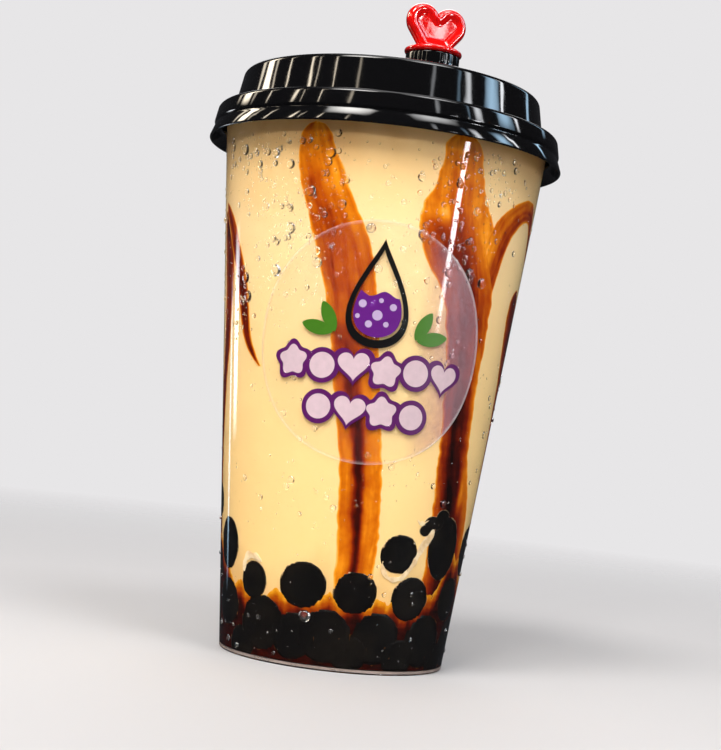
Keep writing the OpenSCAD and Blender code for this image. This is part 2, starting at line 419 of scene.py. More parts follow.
world = bpy.data.worlds.new("studio")
scene.world = world
world.use_nodes = True
sky = world.node_tree
dark = add(sky, "ShaderNodeBackground", {"Color": (*STUDIO, 1), "Strength": 1.0}).outputs[0]
pale = add(sky, "ShaderNodeBackground", {"Color": (*BACKDROP, 1), "Strength": 1.0}).outputs[0]
seen = add(sky, "ShaderNodeLightPath").outputs["Is Camera Ray"]
mixed = add(sky, "ShaderNodeMixShader", {0: seen, 1: dark, 2: pale}).outputs[0]
sky.links.new(mixed, sky.nodes["World Output"].inputs[0])
print("floor", FLOOR_SIZE, "m in radius")

# %% [markdown]
# ## Lamps
#
# A lamp does two jobs here: it lights the tea, and it is mirrored by everything shiny. Large soft lamps
# do the first. Narrow upright strips do the second: a shiny upright wall mirrors a lamp at twice its
# own turn, so a line on the wall at 30 degrees needs a strip at 60. The lid's wall leans back and
# mirrors what is high up, and the cup's wall leans forward and mirrors what is low, so each has strips
# of its own.
#
# A plain area lamp is as bright at its edge as in its middle, and its reflection looks cut out with
# scissors. So every lamp here fades towards its edges, and the strips are hidden from matt surfaces, or
# they would light the tea too.

# %% Lamp helpers
LOOK_AT = Vector((0, 0, 85)) * MM
SOFT_EDGE_GAIN = 36.0


def softbox(name, turn, distance, height, width, tall, power, colour=(1, 1, 1), aim=LOOK_AT):
    """A rectangular lamp at a turn from the front, brightest in its middle, unseen by the camera."""
    lamp = bpy.data.lights.new(name, "AREA")
    lamp.shape = "RECTANGLE"
    lamp.size, lamp.size_y = width, tall
    lamp.energy = power
    lamp.color = colour
    lamp.use_nodes = True
    tree = lamp.node_tree
    place = add(tree, "ShaderNodeNewGeometry").outputs["Parametric"]
    place = add(tree, "ShaderNodeSeparateXYZ", {"Vector": place})
    glow = SOFT_EDGE_GAIN
    for axis in ("X", "Y"):
        far_side = math_node(tree, "SUBTRACT", 1.0, place.outputs[axis])
        glow = times(tree, glow, times(tree, place.outputs[axis], far_side))
    tree.links.new(glow, tree.nodes["Emission"].inputs["Strength"])
    holder = bpy.data.objects.new(name, lamp)
    scene.collection.objects.link(holder)
    holder.location = on_axis_circle(turn, distance, height)
    holder.rotation_euler = (aim - holder.location).to_track_quat("-Z", "Y").to_euler()
    holder.visible_camera = False
    return holder


def shine(*placing):
    """A lamp that is only seen in shiny surfaces and adds nothing to the light on the tea."""
    softbox(*placing).visible_diffuse = False


print("lamp helpers ready")

# %% Lamps that light the tea
BROAD = (1, 0.97, 0.93)
softbox("key", -32, 0.75, 1.15, 0.6, 0.6, 11.0, BROAD)
softbox("fill", 36, 0.7, 1.15, 0.6, 0.6, 5.8)
brow = softbox("brow", -6, 0.85, 0.92, 0.5, 0.12, 2.4, BROAD)
front = softbox("front", -18, 1.5, 0.67, 0.24, 0.22, 4.8, BROAD)
brow.visible_glossy = front.visible_glossy = False
softbox("back", 180, 1.2, 1.1, 1.2, 0.8, 6)
softbox("top", 0, 0.01, 1.4, 1.2, 1.2, 4)
print("6 lamps light the tea")

# %% Strips that are mirrored
WARM, COOL, SILVER = (1.0, 0.87, 0.68), (0.50, 0.76, 1.0), (0.93, 0.96, 1.0)
HEART_LINES = ((43, 10, 0.010), (50, 10, 0.010), (61, 10, 0.010))
CREAM_LINES = (
    (-119, 40, 0.12), (-110, 90, 0.95), (-102, 30, 0.08), (-87, 20, 0.12), (-66, 26, 0.22),
    (-60, 10, 0.05), (-46, 13, 0.10), (-27, 24, 0.07),
)
COLD_LINES = (
    (31, 34, 0.06, SILVER), (52, 30, 0.04, COOL), (60, 70, 0.34, SILVER), (82, 150, 0.62, COOL),
    (92, 34, 0.20, SILVER), (126, 50, 0.12, COOL),
)
BAND_LINES = ((41, 50, 0.16), (57, 100, 0.50), (72, 70, 0.30))

shine("cup_line", 55, 0.42, 0.112, 0.034, 0.13, 0.22)
shine("cup_edge_line", -125, 0.17, 0.05, 0.012, 0.12, 0.010, COOL)
shine("cup_left_line", -115, 0.17, 0.082, 0.024, 0.08, 0.030, SILVER)
for turn, width, power in HEART_LINES:
    shine(f"heart_line_{turn}", turn, 0.5, 0.31, width * MM, 0.06, power)
for turn, width, power in CREAM_LINES:
    shine(f"lid_line_{-turn}", turn, 0.6, 0.46, width * MM, 0.26, power, WARM)
for turn, width, power in BAND_LINES:
    shine(f"band_patch_{turn}", turn, 0.6, 0.30, width * MM, 0.08, power, SILVER)
for turn, width, power, colour in COLD_LINES:
    shine(f"lid_line_{turn}", turn, 0.6, 0.46, width * MM, 0.26, power, colour)

# %% [markdown]
# ## Mist on the plastic
#
# A cold cup has a mist on it that is too fine to model as drops: it makes the plastic a little rough in
# patches. A real wall is also never perfectly even, so a faint, slow bump bends its reflections. Both
# come from noise, and they are built as a node group with named inputs, which a clear material takes up
# with its own values.

# %% Mist group


def new_group(name, inputs, outputs):
    """A shader node group with the given sockets: returns it and its input and output nodes."""
    group = bpy.data.node_groups.new(name, "ShaderNodeTree")
    for socket, kind, value in inputs:
        made = group.interface.new_socket(socket, in_out="INPUT", socket_type=kind)
        if value is not None:
            made.default_value = value
    for socket, kind in outputs:
        group.interface.new_socket(socket, in_out="OUTPUT", socket_type=kind)
    return group, group.nodes.new("NodeGroupInput"), group.nodes.new("NodeGroupOutput")


MIST, given, made = new_group(
    "Mist",
    [
        ("Clean Roughness", "NodeSocketFloat", 0.02),
        ("Misty Roughness", "NodeSocketFloat", 0.2),
        ("Bump", "NodeSocketFloat", 0.1),
    ],
    [("Roughness", "NodeSocketFloat"), ("Normal", "NodeSocketVector")],
)
patches = noise_node(MIST, object_coordinates(MIST), 55, 4, 0.6)
specks = noise_node(MIST, object_coordinates(MIST), 900, 2, 0.6)
misty = range_node(MIST, patches, 0.52, 0.72)
clean, rough = given.outputs["Clean Roughness"], given.outputs["Misty Roughness"]
MIST.links.new(range_node(MIST, misty, to_low=clean, to_high=rough), made.inputs["Roughness"])
slow = noise_node(MIST, object_coordinates(MIST, (1, 1, 0.35)), 60, 1)
height = plus(MIST, slow, times(MIST, times(MIST, specks, misty), 0.02))
MIST.links.new(bump_node(MIST, height, given.outputs["Bump"], 0.0004), made.inputs["Normal"])


def add_mist(tree, shader, clean, misty, bump):
    """Places the mist group in a material with its own values."""
    inputs = {"Clean Roughness": clean, "Misty Roughness": misty, "Bump": bump}
    mist = add(tree, "ShaderNodeGroup", inputs, node_tree=MIST)
    for key in ("Roughness", "Normal"):
        tree.links.new(mist.outputs[key], shader.inputs[key])


print("group", MIST.name, "with", len(MIST.nodes), "nodes")

# %% [markdown]
# ## Clear cup
#
# The cup is thin clear plastic, drawn into a cone with a flat lip and a hollow foot. The CAD solid has
# long, thin triangles on its wall, and what lies behind clear plastic is bent by every one of them. So
# the wall is turned again here at the same sizes, in even rings, with rounder edges on the lip and the
# foot.

# %% Cup
CLEAR = {"Base Color": (1, 1, 1, 1), "Transmission Weight": 1}
material, tree, shader = new_material("clear_cup_plastic", {**CLEAR, "IOR": 1.5})
add_mist(tree, shader, 0.015, 0.09, 0.12)
let_light_in(tree, shader, (0.97, 0.97, 0.97))
RIM_R = CUP_HIGH.x
EDGE_R = 0.5 * MM
RIM_FOOT_Z = RIM_Z - 3 * MM
RIM_IN_R = wall_in(RIM_Z) + 0.3 * MM
FOOT_W, FOOT_H = 1.6 * MM, 0.8 * MM
WALL_RINGS = 24
heights = [FLOOR_Z + (RIM_FOOT_Z - FLOOR_Z) * i / WALL_RINGS for i in range(WALL_RINGS + 1)]
outline = [
    (0, FLOOR_Z),
    *[(wall_in(z), z) for z in heights],
    (RIM_IN_R, RIM_Z - EDGE_R),
    *arc(RIM_IN_R + EDGE_R, RIM_Z - EDGE_R, EDGE_R, 170, 90, 5),
    *arc(RIM_R - EDGE_R, RIM_Z - EDGE_R, EDGE_R, 90, 0, 6),
    *arc(RIM_R - EDGE_R, RIM_FOOT_Z + EDGE_R, EDGE_R, 0, -90, 6),
    *[(wall_out(z), z) for z in reversed(heights)],
    (wall_out(EDGE_R), EDGE_R),
    *arc(wall_out(0) - EDGE_R, EDGE_R, EDGE_R, -5, -90, 6),
    (wall_out(0) - FOOT_W, 0),
    (wall_out(0) - FOOT_W, FOOT_H),
    (0, FOOT_H),
]
cup = mesh_piece("cup_shell", *lathe(outline), material, 35)
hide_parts("cup")
print("cup", len(cup.data.polygons), "faces")

# %% [markdown]
# ## Frosted foot with a painted glint
#
# The edge a cup stands on is scuffed, so the plastic is frosted there. A narrow band just outside the
# wall does this: it is matt, and a noise makes it more see-through in some places than in others. Its
# pale tan colour is also a painted glint, which stands in for the light seen through the foot.

# %% Frosted edge of the foot, with a painted glint
# Pale tan matt colour: frosting, and a painted glint of light seen through the foot.
FOOT_FROST_AND_GLINT = {"Base Color": (0.62, 0.50, 0.44, 1), "Roughness": 0.3}
FROST_LIFT, FROST_T = 0.03 * MM, 0.08 * MM
material, tree, shader = new_material("foot_frost", FOOT_FROST_AND_GLINT)
worn_and_glint = noise_node(tree, object_coordinates(tree), 90, 3, 0.6)
tree.links.new(range_node(tree, worn_and_glint, 0.3, 0.7, 0.25, 0.75), shader.inputs["Alpha"])
band = [(wall_out(z) + FROST_LIFT, z) for z in (0.45 * MM, 0.8 * MM, 1.15 * MM)]
frost_and_glint = mesh_piece("foot_frost", *lathe(band + [(r - FROST_T, z) for r, z in reversed(band)]), material)
print("frosted band", len(frost_and_glint.data.polygons), "faces")

# %% [markdown]
# ## Milk tea
#
# Tea with milk hides what is in it, so it needs no glassy liquid: it is a solid with a soft, creamy
# colour, darker and warmer towards the bottom. Its colour also darkens in the last ten millimetres
# below the lid. This is partly a caramel tint near the rim and partly painted shade, where the lid
# shades the tea. It reaches a little way into the clear wall. If it stopped at the wall's inner face or
# short of it, a thin layer of air would show as a silvery skin. Its top has a small upturned edge, where
# the drink wets the wall.

# %% Milk tea
TEA_SKIN = 0.20 * MM
TEA_FOOT_Z = FLOOR_Z + 5 * MM
BRIM_R = 1.2 * MM
# The last two stops darken the top: partly caramel near the rim, partly painted shade under the lid.
TEA_COLOURS_AND_LID_SHADE = [
    (0.00, (0.62, 0.33, 0.10)),
    (0.20, (0.88, 0.64, 0.29)),
    (0.45, (0.88, 0.66, 0.32)),
    (0.80, (0.89, 0.69, 0.38)),
    (0.93, (0.84, 0.60, 0.29)),
    (1.00, (0.70, 0.44, 0.18)),
]

material, tree, shader = new_material("milk_tea", {"Roughness": 0.45, "Specular IOR Level": 0.1})
height = add(tree, "ShaderNodeSeparateXYZ", {"Vector": object_coordinates(tree)}).outputs["Z"]
share = range_node(tree, height, 0.0, LEVEL_Z)
clouds = noise_node(tree, object_coordinates(tree, (1, 1, 0.6)), 26, 4, 0.55, 0.6)
wander = times(tree, math_node(tree, "SUBTRACT", clouds, 0.5), 0.35)
base = colour_ramp(tree, plus(tree, share, wander), TEA_COLOURS_AND_LID_SHADE, "LINEAR")
tree.links.new(base, shader.inputs["Base Color"])
brim = wall_in(LEVEL_Z) + TEA_SKIN
outline = [
    (0, TEA_FOOT_Z),
    *[(wall_in(z) + TEA_SKIN, z) for z in (TEA_FOOT_Z, LEVEL_Z - BRIM_R)],
    (brim, LEVEL_Z),
    *arc(brim - BRIM_R, LEVEL_Z, BRIM_R, 0, -90, 5),
    (0, LEVEL_Z - BRIM_R),
]
tea = mesh_piece("milk_tea_body", *lathe(outline), material)
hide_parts("milk_tea")
print("milk tea", len(tea.data.polygons), "faces")

# %% [markdown]
# ## The colour of syrup
#
# Brown sugar syrup is poured round the inside of the cup before the tea, and clings to the wall. Where
# it is thin it is amber, and where it is thick it is nearly black. A glassy liquid would show this by
# itself, but it needs much light to stay warm and it turns noisy. So the colour is looked up from the
# depth of the syrup, which the mesh stores at each point. Slow noise, drawn out along the way the syrup
# ran, makes the depth uneven. The streaks and the bed at the bottom use this group with their own
# values.

# %% Syrup colour group
SYRUP_COLOURS = [
    (0.00, (0.84, 0.50, 0.12)),
    (0.09, (0.84, 0.33, 0.012)),
    (0.24, (0.62, 0.17, 0.002)),
    (0.42, (0.42, 0.062, 0.001)),
    (0.60, (0.20, 0.013, 0.0008)),
    (0.82, (0.05, 0.003, 0.0006)),
    (1.00, (0.008, 0.0015, 0.0008)),
]

SYRUP, given, made = new_group(
    "Syrup",
    [
        ("Depth", "NodeSocketFloat", 0.5),
        ("Vector", "NodeSocketVector", None),
        ("Streakiness", "NodeSocketFloat", 0.3),
    ],
    [("Colour", "NodeSocketColor")],
)
flow = given.outputs["Vector"]
broad = noise_node(SYRUP, flow, 1.0, 2, 0.5, 0.8)
strands = noise_node(SYRUP, flow, 3.1, 2, 0.5, 0.3)
pools = noise_node(SYRUP, stretched(SYRUP, flow, (0.55, 3.4, 1)), 1.0, 3, 0.6)
runs = plus(SYRUP, times(SYRUP, broad, 0.42), times(SYRUP, strands, 0.12))
runs = plus(SYRUP, runs, times(SYRUP, pools, 0.46))
swing = times(SYRUP, math_node(SYRUP, "SUBTRACT", runs, 0.5), given.outputs["Streakiness"])
depth = plus(SYRUP, given.outputs["Depth"], swing, clamp=True)
SYRUP.links.new(colour_ramp(SYRUP, depth, SYRUP_COLOURS, "LINEAR"), made.inputs["Colour"])
print("group", SYRUP.name, "with", len(SYRUP.nodes), "nodes")

# %% Syrup materials


def syrup_material(name, stretch, streakiness, ochre=(1, 1, 1)):
    """Wet syrup, coloured by the mesh's depth attribute, with runs stretched along the flow map."""
    material, tree, shader = new_material(name, {"Roughness": 0.35, "Specular IOR Level": 0.04})
    flow = add(tree, "ShaderNodeUVMap", uv_map="flow").outputs["UV"]
    inputs = {"Depth": attribute_node(tree, "depth"), "Vector": stretched(tree, flow, stretch)}
    inputs["Streakiness"] = streakiness
    syrup = add(tree, "ShaderNodeGroup", inputs, node_tree=SYRUP)
    tinted = mix_colour(tree, 1.0, syrup.outputs["Colour"], ochre, "MULTIPLY")
    tree.links.new(tinted, shader.inputs["Base Color"])
    return material


STREAK_MATERIAL = syrup_material("syrup_streak", (0.30, 0.04, 1), 1.05)
BED_MATERIAL = syrup_material("syrup_bed", (0.30, 0.22, 1), 0.6, (0.92, 1.06, 1.2))
WISP_MATERIAL, tree, shader = new_material("milk_wisp", {"Roughness": 0.45, "Specular IOR Level": 0.1})
cream = noise_node(tree, object_coordinates(tree), 300, 3)
CREAMS = [(0.3, (0.66, 0.46, 0.24)), (0.65, (0.90, 0.76, 0.52))]
tree.links.new(colour_ramp(tree, cream, CREAMS), shader.inputs["Base Color"])
print("materials:", STREAK_MATERIAL.name, BED_MATERIAL.name, WISP_MATERIAL.name)

# %% [markdown]
# ## How a streak is built
#
# A streak is a thin closed sheet that follows the wall. It could be painted on the tea, but a sheet of
# its own keeps a crisp edge however close one looks, and it can be seen as a layer from the side. Its
# two edges are smooth curves through a few rows of given turns, roughened by noise, and a third curve
# says where the dark core runs. Near the edges the syrup thins out, and it ends in a round tip. The
# sheet reaches a little way into the clear wall, so that no air is left between plastic and syrup.

# %% Streak builder
SYRUP_SKIN = 0.28 * MM
SHEET_BACK = 1.2 * MM
ROW_STEP = 0.8
COLUMNS = 28
THIN_SPOTS = [
    (24, 119.5, 3.6, 2.8, 0.32), (43, 112, 4, 7, 0.16), (-17, 127, 3, 6, 0.12), (57, 47, 2.4, 5, 0.5),
]


def thinness(turn, z):
    """How much thinner the syrup is near the spots where it pulled away.

    A spot is its turn and height, its half size each way, and its strength.
    """
    thin = 0
    for spot_turn, spot_z, wide, tall, strength in THIN_SPOTS:
        thin += strength * math.exp(-(((turn - spot_turn) / wide) ** 2) - ((z - spot_z) / tall) ** 2)
    return thin


def wobble(seed, run, size, pitch):
    """A smooth random wander of an edge, in millimetres."""
    return size * noise.noise(Vector((run / pitch, seed * 7.3, 0.5)))


def wall_sheet(name, rows, skin, material):
    """A thin closed sheet against the wall, from rows of [(turn, z, depth, flow), ...] of equal length."""
    points, depths, flow = [], [], []
    for face_skin in (skin, -SHEET_BACK):
        for row in rows:
            for turn, z, depth, along in row:
                points.append(on_axis_circle(turn, wall_in(z) + face_skin, z))
                depths.append(depth)
                flow.append(along)
    high, wide = len(rows), len(rows[0])
    back = high * wide
    front = grid_faces(high, wide)
    faces = front + [(back + a, back + d, back + c, back + b) for a, b, c, d in front]
    rim = list(range(wide))
    rim += [i * wide + wide - 1 for i in range(1, high)]
    rim += [(high - 1) * wide + j for j in range(wide - 2, -1, -1)]
    rim += [i * wide for i in range(high - 2, 0, -1)]
    for a, b in zip(rim, rim[1:] + rim[:1]):
        faces.append((a, back + a, back + b, b))
    mesh = build_mesh(name, points, faces, {"depth": depths})
    map_flow(mesh, flow)
    tidy(mesh, 5e-6)
    return finished(mesh, material, 50)


def ribbon(name, stations, core, seed, ragged=1.0, lift=0.0):
    """A streak along stations of (run, left turn, left z, right turn, right z), each a row of the sheet.

    The core is rows of (run, centre share, width share, strength). The run of syrup ends in a round tip.
    """
    low, high = stations[0][0], stations[-1][0]
    steps = max(int((high - low) / ROW_STEP), 10)
    rows = []
    for i in range(steps + 1):
        run = low + (high - low) * i / steps
        left_turn, left_z, right_turn, right_z = through(stations, run)
        centre, width, strength = through(core, run)
        radius = wall_in((left_z + right_z) / 2 * MM) / MM
        across = math.hypot(math.radians(right_turn - left_turn) * radius, right_z - left_z)
        to_tip = min((high - run) / 4, 1)
        tip = math.sqrt(1 - (1 - to_tip) ** 2 + 1e-4)
        left_wander = wobble(seed, run, 0.5, 13) + wobble(seed + 1, run, 0.4, 2.1)
        right_wander = wobble(seed + 2, run, 0.5, 11) + wobble(seed + 3, run, 0.4, 1.9)
        start = 0.5 - 0.5 * tip - ragged * left_wander / across
        end = 0.5 + 0.5 * tip + ragged * right_wander / across
        row = []
        for j in range(COLUMNS + 1):
            spot = j / COLUMNS
            share = start + (end - start) * spot
            edge = min(spot, 1 - spot) * (end - start) * across
            body = 0.26 * smoothstep(0, 0.6, edge) - 0.05 * smoothstep(0.8, 2.0, edge)
            ridge = strength * math.exp(-(((spot - centre) / max(width, 0.02)) ** 2))
            grain = 0.10 * noise.noise(Vector((spot * 7, run / 26, seed)))
            depth = body + (ridge + grain) * smoothstep(0.1, 1.2, edge)
            turn = left_turn + (right_turn - left_turn) * share
            z = (left_z + (right_z - left_z) * share) * MM
            depth -= thinness(turn, z / MM)
            row.append((turn, z, min(max(depth, 0), 1), ((share - 0.5) * across + 9 * seed, run)))
        rows.append(row)
    piece = wall_sheet(name, rows, SYRUP_SKIN + lift * MM, STREAK_MATERIAL)
    return piece


def streak(name, edges, core, seed, ragged=1.0, lift=0.0):
    """A streak that runs straight up the wall, from rows of (z, left turn, right turn)."""
    stations = [(z, left, z, right, z) for z, left, right in sorted(edges)]
    return ribbon(name, stations, core, seed, ragged, lift)


print("streak builder ready")

# %% [markdown]
# ## The streaks
#
# Seen from the front there are two broad streaks. One leans to the left as it rises and the other fills
# the right side, with an arch of syrup beside it and darker bands at both edges of the cup. The back
# has three plain ones, so that the cup looks poured from every side. Each table below has a row for
# every bend and no more. Where the syrup meets the tea near the bottom, thin curls of milk lie over it.

# %% Rows for the streaks at the front
FRONT_EDGES = [
    (12, -2, 15), (25, -2.2, 15.2), (32, -2.5, 15.4), (39, -3, 15.4), (50, -4.7, 13.5),
    (60, -6.9, 11.2), (70, -9.7, 8.8), (85, -13.1, 5.6), (95, -16.5, 3.2), (102, -19.4, 1.2),
    (109, -22.2, -1.4), (115, -24.7, -5), (119, -26.8, -8.1), (123, -28.9, -10.9), (128, -30.5, -14),
    (133, -30.4, -17), (139, -29.5, -19),
]
FRONT_CORE = [
    (12, 0.5, 0.2, 0.55), (32, 0.48, 0.13, 0.55), (45, 0.46, 0.14, 0.70), (58, 0.45, 0.15, 0.70),
    (70, 0.42, 0.22, 0.50), (84, 0.4, 0.32, 0.34), (100, 0.42, 0.36, 0.27), (112, 0.4, 0.4, 0.24),
    (122, 0.3, 0.32, 0.18), (129, 0.28, 0.24, 0.12), (134, 0.3, 0.3, 0.02),
]
RIGHT_EDGES = [
    (13, 41, 76), (30, 41.5, 72), (46, 39.8, 66.5), (55, 38.4, 59.5), (63, 37.3, 56.2), (71, 36, 54.9),
    (79, 34.2, 54.1), (87, 32, 53.6), (95, 29.6, 53), (101, 26, 52.4), (106, 20.6, 52.2),
    (110, 17.2, 51), (113, 15.5, 49.5), (117, 14.3, 47), (120, 14.9, 44.4), (123, 16.4, 41),
    (126, 18.6, 38.6), (130, 19.4, 36.8), (134, 20.2, 35.5), (140, 19.8, 34),
]
RIGHT_CORE = [
    (16, 0.45, 0.4, 0.75), (45, 0.42, 0.32, 0.74), (60, 0.45, 0.38, 0.70), (75, 0.44, 0.40, 0.62),
    (88, 0.40, 0.42, 0.50), (98, 0.44, 0.36, 0.50), (106, 0.44, 0.34, 0.48), (114, 0.36, 0.30, 0.40),
    (121, 0.42, 0.30, 0.20), (129, 0.5, 0.5, 0.06), (140, 0.5, 0.5, 0.02),
]
ARCH = [
    (0, 43, 113, 52, 102), (5, 45.8, 118.5, 53.6, 107.5), (10, 48.4, 121.2, 55.2, 112),
    (15, 51.7, 123.4, 57.4, 116), (20, 56, 125.6, 60.4, 119), (25, 61.3, 127.4, 64.2, 121.3),
    (30, 68.5, 128.6, 68, 122.4), (35, 75.5, 127.6, 72.5, 122), (40, 81, 121, 77, 117),
    (46, 83.5, 113, 80.5, 111),
]
ARCH_CORE = [
    (0, 0.8, 0.3, 0.30), (12, 0.75, 0.35, 0.32), (24, 0.7, 0.35, 0.24), (36, 0.5, 0.4, 0.36),
    (46, 0.5, 0.4, 0.5),
]
EDGE_STREAK = [
    (14, 82, 102), (40, 80.5, 98), (60, 79, 95), (74.5, 75.8, 92), (88, 70.9, 89.5), (96, 68.4, 87),
    (101, 69, 83), (105, 72, 79),
]
LEFT_EDGES = [
    (76, -45, -43.6), (78, -48.8, -45.8), (81, -53.1, -48.3), (85, -56.6, -50.6), (91, -58.9, -51.8),
    (96, -61.3, -53.2), (101, -63.5, -55.4), (108, -68, -60.2), (114, -72.5, -64.6), (120, -78, -72.5),
]
LEFT_BAND = [
    (14, -93, -79), (30, -90, -77.5), (53, -86, -76.5), (70, -81.5, -72.5), (80, -77.5, -69),
    (94, -76, -66), (104, -77, -65.5), (112, -78, -68), (118, -79, -72),
]
print("rows for six streaks")

# %% Rows for the streaks at the back and the milk
BACK_EDGES = {
    "syrup_back_left": [
        (12, -146, -128), (40, -144, -126), (70, -141, -125), (95, -138, -118), (115, -133, -116),
        (128, -133, -117), (134, -131, -118),
    ],
    "syrup_back": [
        (12, 168, 186), (35, 167, 187), (60, 170, 189), (85, 173, 196), (104, 178, 201),
        (120, 184, 204), (131, 186, 203),
    ],
    "syrup_back_right": [
        (12, 124, 139), (36, 122, 138), (62, 124, 137), (90, 127, 143), (112, 134, 150),
        (124, 136, 151), (129, 138, 150),
    ],
}
PLAIN_CORE = [
    (12, 0.5, 0.3, 0.60), (50, 0.5, 0.2, 0.60), (80, 0.5, 0.3, 0.42), (110, 0.5, 0.4, 0.24),
    (139, 0.5, 0.4, 0.15),
]
DARK_CORE = [(12, 0.5, 0.6, 0.65), (60, 0.5, 0.5, 0.55), (90, 0.5, 0.45, 0.55), (120, 0.5, 0.4, 0.50)]
MILK_WISPS = [
    [
        (0, 18.2, 29.6, 19.4, 29.6), (3, 18.6, 27.4, 20.0, 28.0), (7, 21.8, 25.2, 22.6, 26.3),
        (11, 26.6, 24.4, 27.0, 25.6), (15, 30.6, 25.4, 30.2, 26.9), (19, 34.4, 27.6, 33.4, 29.2),
        (24, 37.4, 31.8, 36.0, 32.8), (29, 40.6, 34.6, 39.6, 36.6), (34, 44, 37.6, 43, 39),
    ],
    [(0, 38.2, 40.6, 39.8, 41.4), (5, 35.6, 39.6, 36.4, 40.8), (10, 33.0, 40.4, 33.0, 41.0)],
    [
        (0, -50.5, 22.5, -48.4, 22.4), (5, -48.6, 26.8, -46.8, 25.4), (9, -43, 27.8, -43, 26.2),
        (13, -37.6, 26.2, -38.6, 25.2),
    ],
]
WISP_CORE = [(0, 0.5, 0.4, 0), (34, 0.5, 0.4, 0)]
print(len(BACK_EDGES), "streaks at the back,", len(MILK_WISPS), "curls of milk")

# %% Streaks
streaks = [
    streak("syrup_front", FRONT_EDGES, FRONT_CORE, 1),
    streak("syrup_right", RIGHT_EDGES, RIGHT_CORE, 5, 1.2),
    ribbon("syrup_arch", ARCH, ARCH_CORE, 9, 0.5, 0.02),
    streak("syrup_right_edge", EDGE_STREAK, DARK_CORE, 13, 0.5),
    streak("syrup_left", LEFT_EDGES, DARK_CORE, 17, 0.4, 0.02),
    streak("syrup_left_band", LEFT_BAND, DARK_CORE, 21, 0.6),
]
for index, stations in enumerate(MILK_WISPS):
    wisp = ribbon(f"milk_wisp_{index + 1}", stations, WISP_CORE, 50 + 4 * index, 1.3, 0.16)
    wisp.data.materials[0] = WISP_MATERIAL
for index, (name, edges) in enumerate(BACK_EDGES.items()):
    streaks.append(streak(name, edges, PLAIN_CORE, 30 + 4 * index))
print(len(streaks), "streaks,", sum(len(s.data.polygons) for s in streaks), "faces")

# %% [markdown]
# ## Pearls
#
# Tapioca pearls sink to the bottom of the cup. They are soft, so the wall presses each one flat: a
# pearl is a round mesh whose points may not pass the wall. What shows of it from outside is the flat
# part, with a thin film of tea or syrup creeping over its edge, which the mesh stores as a number for
# the material. The pearls at the front are placed one by one, since their pattern is what the eye sees,
# and the ones behind and inside are strewn in rings.

# %% Places of the pearls
SEEN_PEARLS = [
    (-16.1, 21.8, 7.0, 1), (8.3, 21.1, 6.4, 1), (26.7, 32.0, 6.0, 1), (36.1, 20.5, 6.5, 1.05),
    (-42.6, 21.0, 5.0, 1.15), (52.5, 34.5, 7.0, 1.42), (38.2, 38.4, 2.2, 0.8), (41.4, 40.4, 3.0, 0.7),
    (44.8, 40.6, 2.6, 0.8), (47.6, 42.4, 2.8, 0.7), (65.5, 20.5, 6.3, 1.1), (79, 33.5, 6.3, 1.3),
    (-64.5, 29.5, 6.2, 1.3), (-64.1, 14.0, 6.8, 1.1), (-82, 40, 5.4, 1.1), (-84, 24, 6.6, 1.1),
    (-37, 10.6, 7.7, 1.1), (-3.9, 9.4, 7.6, 1.1), (20.8, 9.8, 7.4, 1.1), (49, 9.6, 7.6, 1.1),
    (76, 9.0, 7.4, 1.1), (-19.5, 8.4, 6.6, 1.1), (-88, 9, 7.2, 1.1), (92, 24, 6.2, 1.1),
    (95, 42, 5.4, 1.1), (102, 10, 6.6, 1), (-50, 4.0, 5.6, 1), (34.5, 5.0, 5.8, 1), (62, 4.2, 5.4, 1),
    (8.5, 5.2, 5.6, 1),
]
PEARL_RINGS = ((8.5, 9), (20.5, 8), (32, 7), (42, 4))
INNER_RINGS = ((9, 12, 11), (21, 12, 12), (32, 13, 10), (9, 23, 4), (21, 24, 4), (31, 25, 4))
random.seed(11)
pearls_at = [(turn, z * MM, r * MM, tall, 0.0) for turn, z, r, tall in SEEN_PEARLS]
for ring, (z, count) in enumerate(PEARL_RINGS):
    for i in range(count):
        turn = 112 + (252 - 108) * (i + 0.5 * (ring % 2)) / (count - 0.5) + random.uniform(-3, 3)
        low = (z + random.uniform(-1.6, 1.6)) * MM
        pearls_at.append((turn, low, random.uniform(6.0, 7.0) * MM, random.uniform(1.0, 1.15), 0.0))
for ring_z, inset, count in INNER_RINGS:
    for i in range(count):
        turn = 360 * (i + 0.37 * ring_z % 1) / count
        pearls_at.append((turn, (ring_z + random.uniform(-2, 2)) * MM, 5.6 * MM, 1, (inset - 5.5) * MM))
print(len(pearls_at), "pearls")

# %% [markdown]
# ## Surface of a pearl
#
# A pearl is nearly black and a little mottled. Its film is golden where it lies in syrup and milky
# where it lies in tea. The film number from the mesh is roughened with noise before it is used as a
# mask, or its edge would be a clean ring.

# %% Pearl material
material, tree, shader = new_material("tapioca_pearl", {"Roughness": 0.3, "Specular IOR Level": 0.1})
DARK_PEARL = [(0.35, (0.0010, 0.0006, 0.0004)), (0.75, (0.006, 0.004, 0.0024))]
film, milky = attribute_node(tree, "film"), attribute_node(tree, "milky")
speck = noise_node(tree, object_coordinates(tree), 420, 3, 0.6)
mottle = noise_node(tree, object_coordinates(tree), 120, 3, 0.55)
dark = colour_ramp(tree, mottle, DARK_PEARL)
film_colour = mix_colour(tree, milky, (0.32, 0.11, 0.008), (0.70, 0.50, 0.26))
ragged = plus(tree, film, times(tree, math_node(tree, "SUBTRACT", speck, 0.5), 0.7), clamp=True)
cover = colour_ramp(tree, ragged, [(0.35, (0, 0, 0)), (0.95, (1, 1, 1))])
cover = add(tree, "ShaderNodeSeparateColor", {"Color": cover}).outputs["Red"]
tree.links.new(mix_colour(tree, cover, dark, film_colour), shader.inputs["Base Color"])
PEARL_MATERIAL = material
print("material", material.name)

# %% Pearls against the wall
PEARL_SKIN = 0.40 * MM
SQUASH = 0.52


def hump(turn, centre, width):
    """A smooth rise round the cup, 1 at its centre."""
    return math.exp(-((((turn - centre + 180) % 360) - 180) / width) ** 2)


